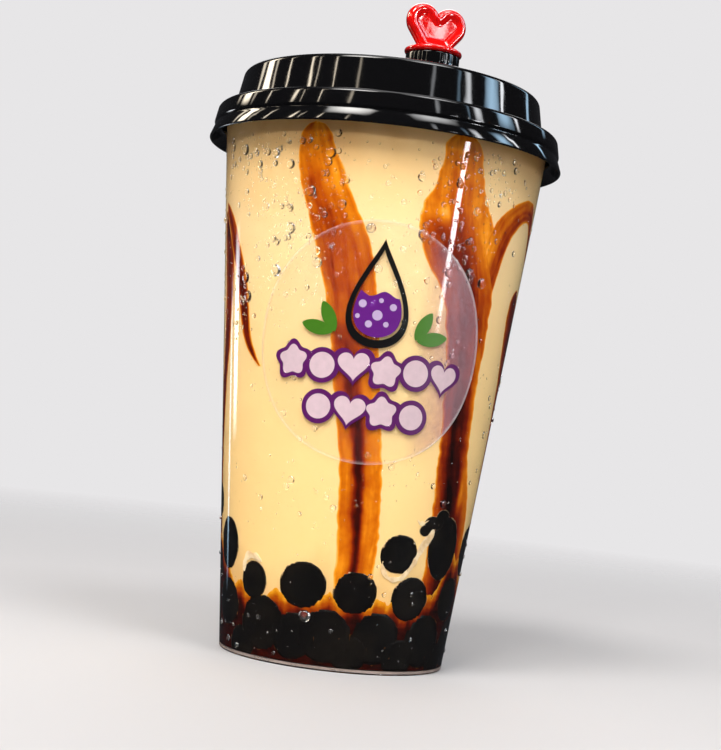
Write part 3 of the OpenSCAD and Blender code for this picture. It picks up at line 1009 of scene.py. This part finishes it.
def bed_top(turn):
    """Height of the syrup bed's upper edge at a turn."""
    around = Vector((math.cos(math.radians(turn)), math.sin(math.radians(turn)), 0))
    lift = 14 * hump(turn, -80, 15) + 13 * hump(turn, 66, 15) + 6 * hump(turn, 180, 50)
    ragged = 3.0 * noise.noise(around * 9.1) + 1.3 * noise.noise(around * 23)
    ragged += 0.8 * noise.noise(around * 57)
    return (18.5 + lift + 2.6 * noise.noise(around * 2.3) + ragged) * MM


def pearl_mesh(turn, z, radius, tall, inset, seed):
    """Points, faces, film and milkiness of one pearl, pressed against the wall."""
    rings, sides = 22, 32
    reach = wall_in(z) + PEARL_SKIN
    centre_r = reach - radius * SQUASH if inset == 0 else wall_in(z) - inset - radius
    centre = on_axis_circle(turn, centre_r, z)
    wide = 1 + 0.05 * noise.noise(Vector((seed, 1, 0)))
    high = tall + 0.05 * noise.noise(Vector((seed, 2, 0)))
    points, films, milkies = [], [], []
    syrup_z = bed_top(turn)
    for i in range(rings + 1):
        for j in range(sides):
            lat, lon = math.pi * i / rings, 2 * math.pi * j / sides
            d = Vector((math.sin(lat) * math.cos(lon), math.sin(lat) * math.sin(lon), math.cos(lat)))
            lump = 0.03 * noise.noise(d * 1.9 + Vector((seed * 3.1, 0, 0)))
            lump += 0.02 * noise.noise(d * 6 + Vector((seed, 5, 0)))
            p = centre + Vector((d.x * wide, d.y, d.z * high)) * radius * (1 + lump)
            far = math.hypot(p.x, p.y)
            limit = wall_in(p.z) + PEARL_SKIN
            over = far - limit
            if over > 0:
                p = Vector((p.x * limit / far, p.y * limit / far, p.z))
            p.z = max(p.z, FLOOR_Z - 0.3 * MM)
            points.append(p)
            films.append(1 - smoothstep(-0.3, 0.4, over / MM))
            milkies.append(smoothstep(-2, 4, (p.z - syrup_z) / MM))
    faces = [(a, d, c, b) for a, b, c, d in grid_faces(rings + 1, sides, closed=True)]
    return points, faces, films, milkies


all_points, all_faces, all_films, all_milk = [], [], [], []
for seed, pearl_at in enumerate(pearls_at):
    points, faces, films, milkies = pearl_mesh(*pearl_at, seed)
    start = len(all_points)
    all_points += points
    all_faces += [tuple(start + k for k in face) for face in faces]
    all_films += films
    all_milk += milkies
mesh = build_mesh("tapioca_pearls", all_points, all_faces, {"film": all_films, "milky": all_milk})
tidy(mesh)
pearls = finished(mesh, PEARL_MATERIAL)
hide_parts("pearls")
print("pearls", len(mesh.polygons), "faces")

# %% [markdown]
# ## Bed of syrup
#
# The rest of the syrup lies at the bottom, between the pearls. It is one closed mesh that goes all the
# way round just inside the wall, with an upper edge that rises and falls. It has the same colour group
# as the streaks: golden along its upper edge, and dark a few millimetres below.

# %% Syrup bed
BED_SKIN = 0.34 * MM
BED_ROWS, BED_COLUMNS = 26, 360
BED_FOOT_Z = FLOOR_Z - 0.25 * MM
BED_MIDDLE_Z = 18 * MM
BED_DEEP = 0.9


def bed_depth(below):
    """How deep the syrup looks at a distance in millimetres below the bed's upper edge."""
    fringe = 0.08 + 0.06 * smoothstep(0, 0.8, below)
    return fringe + 0.28 * smoothstep(0.5, 2.4, below) + 0.5 * smoothstep(2.2, 6.5, below)


points, depths, flow = [], [], []
for i in range(BED_ROWS + 1):
    for j in range(BED_COLUMNS):
        turn = 360 * j / BED_COLUMNS
        top = bed_top(turn)
        z = BED_FOOT_Z + (top - BED_FOOT_Z) * i / BED_ROWS
        points.append(on_axis_circle(turn, wall_in(z) + BED_SKIN, z))
        depths.append(bed_depth((top - z) / MM))
        flow.append((math.radians(turn) * wall_in(z) / MM, z / MM))
faces = grid_faces(BED_ROWS + 1, BED_COLUMNS, closed=True)
top_centre, low_centre = len(points), len(points) + 1
for z in (BED_MIDDLE_Z, BED_FOOT_Z):
    points.append(Vector((0, 0, z)))
    depths.append(BED_DEEP)
flow += [(0, 18), (0, 0)]
last = BED_ROWS * BED_COLUMNS
for j in range(BED_COLUMNS):
    k = (j + 1) % BED_COLUMNS
    faces.append((last + j, last + k, top_centre))
    faces.append((k, j, low_centre))
mesh = build_mesh("syrup_bed", points, faces, {"depth": depths})
map_flow(mesh, flow)
bed = finished(mesh, BED_MATERIAL, 60)
print("bed", len(mesh.polygons), "faces")

# %% [markdown]
# ## Black plastic
#
# The lid is moulded in black plastic with a high gloss. Black plastic shows only what it mirrors, so
# its looks depend on a slow bump, which makes the mirrored strips waver as they do on a thin moulding,
# and on a very fine unevenness that softens them.

# %% Black plastic
BLACK = {"Base Color": (0.0035, 0.0035, 0.004, 1), "IOR": 1.52}
LID_MATERIAL, tree, shader = new_material("black_lid_plastic", BLACK)
slow = noise_node(tree, object_coordinates(tree, (1, 1, 0.4)), 60, 3, 0.5)
fine = noise_node(tree, object_coordinates(tree), 1500, 2)
tree.links.new(bump_node(tree, slow, 0.3, 0.0007), shader.inputs["Normal"])
tree.links.new(range_node(tree, fine, to_low=0.03, to_high=0.08), shader.inputs["Roughness"])
print("material", LID_MATERIAL.name)

# %% [markdown]
# ## Lid
#
# The lid is one turned shell: a raised crown with a lip round its top, a ring that rests on the cup's
# rim, a band, and a skirt that flares out. The round corners matter most, because on black plastic they
# are what catches the light, so the outline here has finer arcs than the CAD solid.

# %% Lid shell
LID_T = 1.1 * MM
SEAT_Z = RIM_Z
RING_Z = SEAT_Z + LID_T
SKIRT_R, SKIRT_Z = LID_HIGH.x, LID_LOW.z
BAND_R = SKIRT_R - 0.9 * MM
CREASE_Z = SKIRT_Z + 3.6 * MM
SHOULDER_R = BAND_R - 0.6 * MM
CROWN_R = BAND_R - 5.1 * MM
CROWN_TOP_Z = RING_Z + 10.3 * MM
CROWN_TOP_R = CROWN_R - 1.5 * MM
PANEL_Z = CROWN_TOP_Z - 1.0 * MM
LIP_IN_R = CROWN_TOP_R - 2.6 * MM
SNAP_TOP_Z = RIM_Z - 3.4 * MM
SNAP_R = wall_out(SNAP_TOP_Z) + 0.9 * MM

outline = [
    *arc(SKIRT_R - 0.35 * MM, SKIRT_Z + 0.35 * MM, 0.35 * MM, -120, 12, 5),
    (BAND_R - 0.12 * MM, CREASE_Z - 0.35 * MM),
    *arc(BAND_R - 0.02 * MM, CREASE_Z + 0.1 * MM, 0.28 * MM, 200, 140, 4),
    *arc(BAND_R - 0.5 * MM, CREASE_Z + 0.95 * MM, 0.5 * MM, -50, 8, 4),
    *arc(SHOULDER_R - 1.2 * MM, RING_Z - 1.2 * MM, 1.2 * MM, 8, 90, 12),
    *arc(CROWN_R + 0.75 * MM, RING_Z + 0.75 * MM, 0.75 * MM, 270, 188, 8),
    *arc(CROWN_TOP_R - 1.5 * MM, CROWN_TOP_Z - 1.5 * MM, 1.5 * MM, 8, 90, 14),
    *arc(LIP_IN_R + 1.1 * MM, CROWN_TOP_Z - 0.5 * MM, 0.5 * MM, 90, 145, 6),
    *arc(LIP_IN_R + 0.1 * MM, PANEL_Z + 0.5 * MM, 0.5 * MM, 325, 270, 6),
    (0, PANEL_Z),
    (0, PANEL_Z - LID_T),
    (CROWN_TOP_R - LID_T, PANEL_Z - LID_T),
    (CROWN_R - LID_T, SEAT_Z),
    (SHOULDER_R - LID_T, SEAT_Z),
    (BAND_R - LID_T, SNAP_TOP_Z + LID_T),
    *arc(SNAP_R + 0.8 * MM, SNAP_TOP_Z - 0.8 * MM, 0.8 * MM, 90, 270, 8),
    (BAND_R - LID_T, SNAP_TOP_Z - 1.6 * MM),
]
shell = mesh_piece("lid_shell", *lathe(outline), LID_MATERIAL, 35)
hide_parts("lid")
print("lid", len(shell.data.polygons), "faces")

# %% [markdown]
# ## Collar
#
# The sip hole has a short collar round it, which swells out of the panel in a soft flare. It is turned
# round the hole's own axis, which the stopper's box gives, and its flare is kept lower than the collar.

# %% Collar round the sip hole
HOLE_X, HOLE_Y = (STOPPER_LOW.x + STOPPER_HIGH.x) / 2, (STOPPER_LOW.y + STOPPER_HIGH.y) / 2
COLLAR_TOP_Z = LID_HIGH.z
HOLE_R = 5.8 * MM
COLLAR_R = 7.1 * MM
FLARE_R = min(3.4 * MM, COLLAR_TOP_Z - PANEL_Z - 1.0 * MM)
outline = [
    (HOLE_R, PANEL_Z - LID_T),
    (COLLAR_R + FLARE_R, PANEL_Z - LID_T * 0.6),
    *arc(COLLAR_R + FLARE_R, PANEL_Z + FLARE_R, FLARE_R, 270, 180, 12),
    *arc(COLLAR_R - 0.5 * MM, COLLAR_TOP_Z - 0.5 * MM, 0.5 * MM, 0, 90, 6),
    *arc(HOLE_R + 0.3 * MM, COLLAR_TOP_Z - 0.3 * MM, 0.3 * MM, 90, 180, 4),
]
collar = mesh_piece("lid_collar", *lathe(outline, (HOLE_X, HOLE_Y), 96), LID_MATERIAL, 35)
print("sip hole at", round(HOLE_X / MM, 2), round(HOLE_Y / MM, 2), "mm")

# %% [markdown]
# ## Red plastic
#
# The stopper is moulded in bright red plastic. Some light enters it and comes out again beside the
# spot, so it takes a little subsurface scattering, and a clear coat gives it the wet gloss of new
# plastic.

# %% Red plastic
RED = {
    "Base Color": (0.95, 0.005, 0.004, 1),
    "IOR": 1.5,
    "Coat Weight": 1,
    "Coat Roughness": 0.03,
    "Subsurface Weight": 0.25,
    "Subsurface Radius": (1.0, 0.1, 0.05),
    "Subsurface Scale": 0.002,
}
RED_MATERIAL, tree, shader = new_material("red_stopper_plastic", RED)
soft = noise_node(tree, object_coordinates(tree), 260, 2)
tree.links.new(range_node(tree, soft, to_low=0.03, to_high=0.08), shader.inputs["Roughness"])
tree.links.new(bump_node(tree, soft, 0.12, 0.0003), shader.inputs["Normal"])
print("material", RED_MATERIAL.name)

# %% [markdown]
# ## Heart stopper
#
# The stopper is a stem that plugs the hole, a round disc, and a heart as the grip. The heart has a
# thick round bead along its edge and a face that is dished inside it. Its outline is two round lobes
# and two straight sides, and its thickness depends only on how far a point is from that outline, so a
# grid of rings from the middle out to the edge gives the whole puffed shape.

# %% Outline of the heart
DISC_Z = COLLAR_TOP_Z
DISC_R, DISC_T = 7.6 * MM, 1.7 * MM
HEART_BASE_Z = DISC_Z + DISC_T - 0.4 * MM
LOBE_R, LOBE_X, LOBE_Z, FOOT_X = 4.7 * MM, 3.9 * MM, 7.3 * MM, 4.0 * MM
HEART_T, BEAD_R, DISH = 3.6 * MM, 1.25 * MM, 0.62
HEART_TURN = math.radians(25)
STRAIGHT_STEPS = 8


def heart_outline(steps=44):
    """Points of the heart's outline, anticlockwise from the middle of its foot."""
    reach = math.hypot(LOBE_X - FOOT_X, LOBE_Z)
    aim = math.atan2(LOBE_Z, LOBE_X - FOOT_X) - math.asin(LOBE_R / reach)
    notch = math.pi - math.acos(LOBE_X / LOBE_R)
    start = aim - math.pi / 2
    angles = [start + (notch - start) * i / steps for i in range(steps + 1)]
    lobe = [(LOBE_X + LOBE_R * math.cos(a), LOBE_Z + LOBE_R * math.sin(a)) for a in angles]
    shares = [i / STRAIGHT_STEPS for i in range(STRAIGHT_STEPS)]
    side = [(FOOT_X + (lobe[0][0] - FOOT_X) * share, lobe[0][1] * share) for share in shares]
    foot = [(FOOT_X * share, 0) for share in shares]
    half = foot + side + lobe
    mirrored = [(-x, z) for x, z in reversed(half[1:-1])]
    return half + mirrored


edge_points = heart_outline()


def from_edge(x, z):
    """Distance of a point inside the heart from its outline."""
    best = 1.0
    for (ax, az), (bx, bz) in zip(edge_points, edge_points[1:] + edge_points[:1]):
        dx, dz = bx - ax, bz - az
        t = min(max(((x - ax) * dx + (z - az) * dz) / (dx * dx + dz * dz), 0), 1)
        best = min(best, math.hypot(x - ax - t * dx, z - az - t * dz))
    return best


def half_thickness(d):
    """Half the heart's thickness at a distance from its outline: a round bead, then a dished face."""
    bead = math.sqrt(max(1 - (1 - min(d / BEAD_R, 1)) ** 2, 0))
    dished = 1 - (1 - DISH) * smoothstep(1.15, 2.6, d / BEAD_R)
    return HEART_T / 2 * min(bead, 1) * dished


print("heart outline of", len(edge_points), "points")

# %% Stopper
RINGS = 26
hub = (0.0, 5.6 * MM)
points, faces = [], []
count = len(edge_points)
for side in (1, -1):
    for i in range(1, RINGS + 1):
        grow = 1 - (1 - i / RINGS) ** 1.7
        for x, z in edge_points:
            px, pz = hub[0] + (x - hub[0]) * grow, hub[1] + (z - hub[1]) * grow
            points.append((px, -side * half_thickness(from_edge(px, pz)), pz))
    points.append((hub[0], -side * half_thickness(from_edge(*hub)), hub[1]))
per_side = RINGS * count + 1
for side in (0, 1):
    start = side * per_side
    for j in range(count):
        k = (j + 1) % count
        faces.append((start + j, start + k, start + per_side - 1))
        for i in range(RINGS - 1):
            a, b = start + i * count, start + (i + 1) * count
            faces.append((a + j, b + j, b + k, a + k))
turned = Matrix.Rotation(HEART_TURN, 4, "Z")
placed = [turned @ Vector(p) + Vector((HOLE_X, HOLE_Y, HEART_BASE_Z)) for p in points]
heart = mesh_piece("stopper_heart", placed, faces, RED_MATERIAL, 75, True)
outline = [
    (0, DISC_Z - 5.4 * MM),
    *arc(HOLE_R - 0.95 * MM, DISC_Z - 4.6 * MM, 0.8 * MM, -90, 0, 4),
    (HOLE_R - 0.15 * MM, DISC_Z),
    *arc(DISC_R - 0.75 * MM, DISC_Z + 0.75 * MM, 0.75 * MM, -90, 60, 10),
    (DISC_R - 1.6 * MM, DISC_Z + DISC_T - 0.12 * MM),
    (DISC_R - 3.0 * MM, DISC_Z + DISC_T),
    (0, DISC_Z + DISC_T),
]
disc = mesh_piece("stopper_disc", *lathe(outline, (HOLE_X, HOLE_Y), 96), RED_MATERIAL, 35)
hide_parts("stopper")
print("stopper", len(heart.data.polygons) + len(disc.data.polygons), "faces")

# %% [markdown]
# ## Label
#
# The label is a round of clear film with a satin face. It lies on the cone, so it is laid out flat
# first, in millimetres across and up from its centre, and then wrapped: across becomes a turn, and up
# becomes a height along the sloping wall. The print on it is wrapped in the same way, a few hundredths
# of a millimetre higher.

# %% Wrap
LABEL_Z = (LABEL_LOW.z + LABEL_HIGH.z) / 2
LABEL_R = (LABEL_HIGH.z - LABEL_LOW.z) / 2 * math.sqrt(1 + SLOPE * SLOPE)
LABEL_TURN = 3.0
LABEL_T = 0.15 * MM


def wrapped(across, upwards, height):
    """A point of the flat label, in millimetres, laid on the cone at a height above the cup's wall."""
    z = LABEL_Z + upwards * MM / math.sqrt(1 + SLOPE * SLOPE)
    radius = wall_out(z)
    return on_axis_circle(LABEL_TURN + math.degrees(across * MM / radius), radius + height, z)


def wrapped_piece(name, shapes, base, thick, material, rings=6, hollow=False):
    """Flat shapes wrapped on the cup: each is (centre, outline points), star-shaped round its centre.

    A hollow shape is a band: its outline is followed by an inner one with as many points.
    """
    points, faces, rims = [], [], []
    for centre, outline in shapes:
        start, sides = len(points), len(outline) // 2 if hollow else len(outline)
        top, inner = base + thick, outline[sides:] if hollow else [centre] * sides
        for height, shares in ((top, range(rings + 1)), (base, range(rings, -1, -1))):
            for i in shares:
                share = i / rings
                for (ax, ay), (bx, by) in zip(inner, outline):
                    points.append(wrapped(ax + (bx - ax) * share, ay + (by - ay) * share, height))
                    rims.append(smoothstep(0.975, 0.992, share))
        rows = 2 * (rings + 1)
        for i in range(rows if hollow else rows - 1):
            here, there = start + i * sides, start + (i + 1) % rows * sides
            for s in range(sides):
                t = (s + 1) % sides
                faces.append((here + s, here + t, there + t, there + s))
    mesh = build_mesh(name, points, faces, {"rim": rims})
    tidy(mesh)
    return finished(mesh, material, 40)


def outline_of(shape, size, centre=(0, 0), turn=0, sides=72):
    """Outline points of a shape about its centre, in millimetres."""
    points = []
    for i in range(sides):
        a = 2 * math.pi * i / sides
        if shape == "disc":
            x, y = math.cos(a), math.sin(a)
        elif shape == "flower":
            r = 0.98 * (1 + 0.14 * math.cos(5 * a - math.pi / 2))
            x, y = r * math.cos(a), r * math.sin(a)
        elif shape == "heart":
            x = 1.06 * math.sin(a) ** 3
            y = (13 * math.cos(a) - 5 * math.cos(2 * a) - 2 * math.cos(3 * a) - math.cos(4 * a)) / 15 + 0.12
        elif shape == "drop":
            x, y = math.sin(a) * math.sin(a / 2) ** 1.5, 1.22 * math.cos(a) + 0.12
        elif shape == "leaf":
            x, y = math.cos(a), 0.42 * math.sin(a) * abs(math.sin(a)) ** 0.5
        c, s = math.cos(math.radians(turn)), math.sin(math.radians(turn))
        points.append((centre[0] + size * (x * c - y * s), centre[1] + size * (x * s + y * c)))
    return points


print("wrapping ready, label centre at", round(LABEL_Z / MM, 1), "mm")

# %% [markdown]
# ## Film of the label, with a painted sheen
#
# Clear film can hardly be seen face on. It gives itself away by a sheen on the side that turns to the
# light, and by its cut edge. That sheen is painted here: the film's alpha is close to nothing on one
# side and rises across to the other, and its pinkish colour is a painted reflection. The alpha is also
# higher along the rim, which the mesh stores as a number, and the rim is paler.

# %% Label film
# Painted sheen: the alpha ramp across X stands in for light on one side of the film.
PAINTED_SHEEN_RAMP = (0.013, 0.023, 0.012, 0.26)
FILM_UNDER = 0.05 * MM
material, tree, shader = new_material("label_film", {"Roughness": 0.22})
rim = attribute_node(tree, "rim")
# The pinkish film colour is a painted reflection; the rim is paler.
tint = mix_colour(tree, rim, (0.74, 0.40, 0.46), (0.95, 0.88, 0.88))
tree.links.new(tint, shader.inputs["Base Color"])
across = add(tree, "ShaderNodeSeparateXYZ", {"Vector": object_coordinates(tree)}).outputs["X"]
grain = noise_node(tree, object_coordinates(tree), 700, 2)
painted_sheen = times(tree, range_node(tree, across, *PAINTED_SHEEN_RAMP), plus(tree, grain, 0.5))
tree.links.new(plus(tree, painted_sheen, times(tree, rim, 0.14), clamp=True), shader.inputs["Alpha"])
film_shape = [((0, 0), outline_of("disc", LABEL_R / MM, sides=192))]
film = wrapped_piece("label_film", film_shape, -FILM_UNDER, LABEL_T + FILM_UNDER, material, 60)
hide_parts("label")
print("label", round(2 * LABEL_R / MM, 1), "mm across,", len(film.data.polygons), "faces")

# %% [markdown]
# ## Print
#
# The print is a plain motif: a drop with a level of tea and bubbles in it, leaves at its sides, and
# below them rows of flowers, discs and hearts. Each ink is a mesh of its own, a few hundredths of a
# millimetre thick, because its edge then stays sharp at any distance and its colour is a material that
# is easy to change. Ink that lies on other ink is twice as thick, so that it stands above the first.

# %% Print
INK_T = 0.03 * MM
INKS = {
    "black": (0.004, 0.004, 0.004),
    "purple": (0.17, 0.010, 0.30),
    "plum": (0.14, 0.006, 0.16),
    "pink": (0.93, 0.70, 0.77),
    "green": (0.075, 0.27, 0.012),
    "pale": (0.72, 0.55, 0.86),
}


def ink(name, colour):
    """Printed ink: a satin colour with a faint unevenness."""
    material, tree, shader = new_material(f"ink_{name}", {"Roughness": 0.4})
    uneven = noise_node(tree, object_coordinates(tree), 500, 3)
    deep = tuple(c * 0.78 for c in colour)
    tree.links.new(mix_colour(tree, uneven, colour, deep), shader.inputs["Base Color"])
    return material


INK = {name: ink(name, colour) for name, colour in INKS.items()}


def printed(name, colour, outlines, layer, hollow=False):
    """One colour of the print: outlines with their centres, a layer of ink above the film."""
    piece = wrapped_piece(name, outlines, LABEL_T - 0.01 * MM, INK_T * layer, INK[colour], 4, hollow)


print(len(INK), "inks")

# %% Motifs
EDGE_W, MOTIF_TILT = 1.25, 4
MOTIFS = [
    ("flower", -20.3, -6.2, 3.6), ("disc", -12.2, -6.9, 3.3), ("heart", -4.1, -6.5, 3.8),
    ("flower", 4.1, -7.0, 3.6), ("disc", 12.1, -6.5, 3.4), ("heart", 20.2, -7.1, 3.7),
    ("disc", -12.0, -17.4, 3.2), ("heart", -4.0, -17.8, 3.8), ("flower", 4.2, -17.3, 3.6),
    ("disc", 12.2, -17.8, 3.2),
]


def motifs(grow):
    """The rows of motifs, each grown by so many millimetres and tilted to and fro in turn."""
    return [
        ((x, y), outline_of(shape, size + grow, (x, y), MOTIF_TILT * (-1) ** i))
        for i, (shape, x, y, size) in enumerate(MOTIFS)
    ]


printed("print_motif_edges", "plum", motifs(EDGE_W), 1)
printed("print_motifs", "pink", motifs(0), 2)
print(len(MOTIFS), "motifs in rows")

# %% Drop, bubbles and leaves
DROP_X, DROP_Y = 0.4, 11.2
BUBBLES = [
    (-3.6, 9.6, 1.0), (0.4, 7.0, 1.3), (4.2, 9.4, 0.9), (-1.6, 4.6, 0.9), (2.8, 4.9, 0.7),
    (1.0, 10.8, 0.6), (-4.6, 6.4, 0.6),
]
LEAVES = [(-11.8, 5.6, 4.2, 118), (-14.6, 2.6, 4.3, 168), (12.8, 5.6, 4.2, 62), (15.6, 2.6, 4.3, 12)]

ring = outline_of("drop", 11.4, (DROP_X, DROP_Y)) + outline_of("drop", 9.4, (DROP_X, DROP_Y - 0.1))
printed("print_drop_edge", "black", [((DROP_X, DROP_Y), ring)], 1, True)
inside = outline_of("drop", 8.7, (DROP_X, DROP_Y - 0.2))
filled = [(x, min(y, 12.4 + 0.7 * math.sin(x * 0.9))) for x, y in inside]
printed("print_drop_fill", "purple", [((DROP_X, 8.0), filled)], 1)
bubbles = [((x, y), outline_of("disc", r, (x, y), sides=32)) for x, y, r in BUBBLES]
printed("print_bubbles", "pale", bubbles, 2)
leaves = [((x, y), outline_of("leaf", r, (x, y), turn)) for x, y, r, turn in LEAVES]
printed("print_leaves", "green", leaves, 1)

# %% [markdown]
# ## Condensation
#
# Cold cups sweat. The drops are real little domes of water on the wall, scattered by Geometry Nodes:
# points are spread over a sheet that follows the wall, as thickly as a number painted on the sheet
# says, each gets a dome turned to face away from the wall, and the result is made one plain mesh. Drops
# come in very different sizes, so the tree is used three times with its own counts and sizes.

# %% Water
WATER = {**CLEAR, "IOR": 1.3, "Coat Weight": 1, "Coat Roughness": 0.02}
WATER_MATERIAL, tree, shader = new_material("water_drop", WATER)
tiny = noise_node(tree, object_coordinates(tree), 1800, 1)
tree.links.new(range_node(tree, tiny, to_high=0.03), shader.inputs["Roughness"])
let_light_in(tree, shader, (0.93, 0.93, 0.93))
print("material", WATER_MATERIAL.name)

# %% Where the wall is wet
SHEET_SINK = 0.03 * MM
SHEET_LOW, SHEET_HIGH = 2.5, 136.5
SHEET_COLUMNS, SHEET_ROWS = 180, 70


def wetness(turn, z):
    """How thickly drops lie at a place on the wall, from 0 to 1.6."""
    turn = (turn + 180) % 360 - 180
    clouds = 0.5 + 0.5 * noise.noise(on_axis_circle(turn, 1.6, z / MM / 18))
    wet = 0.07 + 0.11 * smoothstep(20, 45, z / MM)
    wet += 1.3 * math.exp(-(((turn + 46) / 30) ** 2)) * smoothstep(60, 115, z / MM)
    wet += 3.5 * math.exp(-(((turn - 32) / 13) ** 2)) * smoothstep(75, 105, z / MM)
    wet += 2.2 * math.exp(-(((turn + 22) / 9) ** 2)) * smoothstep(98, 122, z / MM)
    wet += 0.10 * (1 - smoothstep(16, 30, z / MM))
    wet += 0.5 * smoothstep(80, 120, abs(turn))
    return max(0, min(1.6, wet * clouds * clouds * 1.8))


def wet_sheet():
    """A sheet over the cup's wall that carries the wetness, for drops to be scattered on."""
    points, values = [], []
    for i in range(SHEET_ROWS + 1):
        z = (SHEET_LOW + (SHEET_HIGH - SHEET_LOW) * i / SHEET_ROWS) * MM
        for j in range(SHEET_COLUMNS):
            turn = 360 * j / SHEET_COLUMNS
            points.append(on_axis_circle(turn, wall_out(z) - SHEET_SINK, z))
            values.append(wetness(turn, z))
    faces = grid_faces(SHEET_ROWS + 1, SHEET_COLUMNS, closed=True)
    return build_mesh("wet_sheet", points, faces, {"wet": values})


WET_SHEET = wet_sheet()
print("sheet", len(WET_SHEET.polygons), "faces")

# %% [markdown]
# ## One drop
#
# A drop on plastic is a low dome. It is copied thousands of times, so it has only a few dozen faces,
# and the finest mist of drops has a coarser one. The dome has radius 1 and stands on z = 0, so the tree
# can make any drop of it by scaling.

# %% Domes


def drop_mesh(sides=10, rings=3):
    """A dome of radius 1, closed underneath, with its base at z = 0."""
    points = []
    for i in range(rings):
        a = math.pi / 2 * i / rings
        for j in range(sides):
            b = 2 * math.pi * j / sides
            points.append((math.cos(a) * math.cos(b), math.cos(a) * math.sin(b), math.sin(a)))
    points += [(0, 0, 1), (0, 0, 0)]
    faces = grid_faces(rings, sides, closed=True)
    for j in range(sides):
        k = (j + 1) % sides
        faces.append(((rings - 1) * sides + j, (rings - 1) * sides + k, rings * sides))
        faces.append((k, j, rings * sides + 1))
    mesh = build_mesh("drop", points, faces)
    mesh.shade_smooth()
    return bpy.data.objects.new("drop_source", mesh)


ROUND_DROP = drop_mesh()
COARSE_DROP = drop_mesh(8, 2)
print("domes of", len(ROUND_DROP.data.polygons), "and", len(COARSE_DROP.data.polygons), "faces")

# %% [markdown]
# ## The scatter tree
#
# The tree runs from left to right as a gardener works: strew points over the sheet, as many as the
# wetness asks for, draw a size for each, set a dome on each that faces away from the wall, and turn the
# copies into real geometry. Sizes are drawn with a power, so that small drops are common and large ones
# rare. Everything that differs between the three runs is a named input.

# %% Scatter tree


def scatter_tree():
    """The node tree: drops scattered over the sheet by its wetness, with named sizes."""
    tree = bpy.data.node_groups.new("Condensation", "GeometryNodeTree")
    face = tree.interface
    face.new_socket("Geometry", in_out="INPUT", socket_type="NodeSocketGeometry")
    face.new_socket("Drop", in_out="INPUT", socket_type="NodeSocketObject")
    for name in ("Drops per Square Metre", "Smallest Radius", "Largest Radius", "Height Share"):
        face.new_socket(name, in_out="INPUT", socket_type="NodeSocketFloat")
    face.new_socket("Seed", in_out="INPUT", socket_type="NodeSocketInt")
    face.new_socket("Material", in_out="INPUT", socket_type="NodeSocketMaterial")
    face.new_socket("Geometry", in_out="OUTPUT", socket_type="NodeSocketGeometry")
    given = tree.nodes.new("NodeGroupInput").outputs
    wet = add(tree, "GeometryNodeInputNamedAttribute", {"Name": "wet"}).outputs["Attribute"]
    thick = times(tree, wet, given["Drops per Square Metre"])
    spread = add(
        tree,
        "GeometryNodeDistributePointsOnFaces",
        {"Mesh": given["Geometry"], "Density": thick, "Seed": given["Seed"]},
    )
    size = add(tree, "FunctionNodeRandomValue", {"Seed": given["Seed"]}, data_type="FLOAT").outputs[1]
    size = math_node(tree, "POWER", size, 2.6)
    radius = range_node(tree, size, to_low=given["Smallest Radius"], to_high=given["Largest Radius"])
    tall = times(tree, radius, given["Height Share"])
    scale = add(tree, "ShaderNodeCombineXYZ", {"X": radius, "Y": radius, "Z": tall}).outputs[0]
    shape = add(tree, "GeometryNodeObjectInfo", {"Object": given["Drop"]}).outputs["Geometry"]
    places = {"Points": spread.outputs["Points"], "Rotation": spread.outputs["Rotation"]}
    places |= {"Instance": shape, "Scale": scale}
    placed = add(tree, "GeometryNodeInstanceOnPoints", places).outputs[0]
    real = add(tree, "GeometryNodeRealizeInstances", {"Geometry": placed}).outputs[0]
    wet_look = {"Geometry": real, "Material": given["Material"]}
    done = add(tree, "GeometryNodeSetMaterial", wet_look).outputs[0]
    tree.links.new(done, tree.nodes.new("NodeGroupOutput").inputs[0])
    return tree


SCATTER = scatter_tree()
print("tree", SCATTER.name, "with", len(SCATTER.nodes), "nodes")

# %% Drops


def scatter(name, drop, per_square_metre, smallest, largest, height, seed):
    """Runs the tree on the wet sheet and keeps the result as a plain mesh."""
    sheet = bpy.data.objects.new(name, WET_SHEET)
    scene.collection.objects.link(sheet)
    modifier = sheet.modifiers.new("scatter", "NODES")
    modifier.node_group = SCATTER
    values = {
        "Drop": drop,
        "Drops per Square Metre": float(per_square_metre),
        "Smallest Radius": smallest * MM,
        "Largest Radius": largest * MM,
        "Height Share": height,
        "Seed": seed,
        "Material": WATER_MATERIAL,
    }
    for item in SCATTER.interface.items_tree:
        if item.in_out == "INPUT" and item.name in values:
            modifier[item.identifier] = values[item.name]
    bpy.context.view_layer.update()
    evaluated = sheet.evaluated_get(bpy.context.evaluated_depsgraph_get())
    mesh = bpy.data.meshes.new_from_object(evaluated)
    bpy.data.objects.remove(sheet)
    mesh.name = name
    for attribute in [a.name for a in mesh.attributes if a.name == "wet"]:
        mesh.attributes.remove(mesh.attributes[attribute])
    mesh.shade_smooth()
    piece = new_object(name, mesh)
    print(name, len(mesh.polygons), "faces")


scatter("condensation_specks", COARSE_DROP, 330000, 0.10, 0.34, 0.75, 3)
scatter("condensation_drops", ROUND_DROP, 130000, 0.28, 1.0, 0.62, 5)
scatter("condensation_large", ROUND_DROP, 18000, 0.8, 1.7, 0.45, 8)
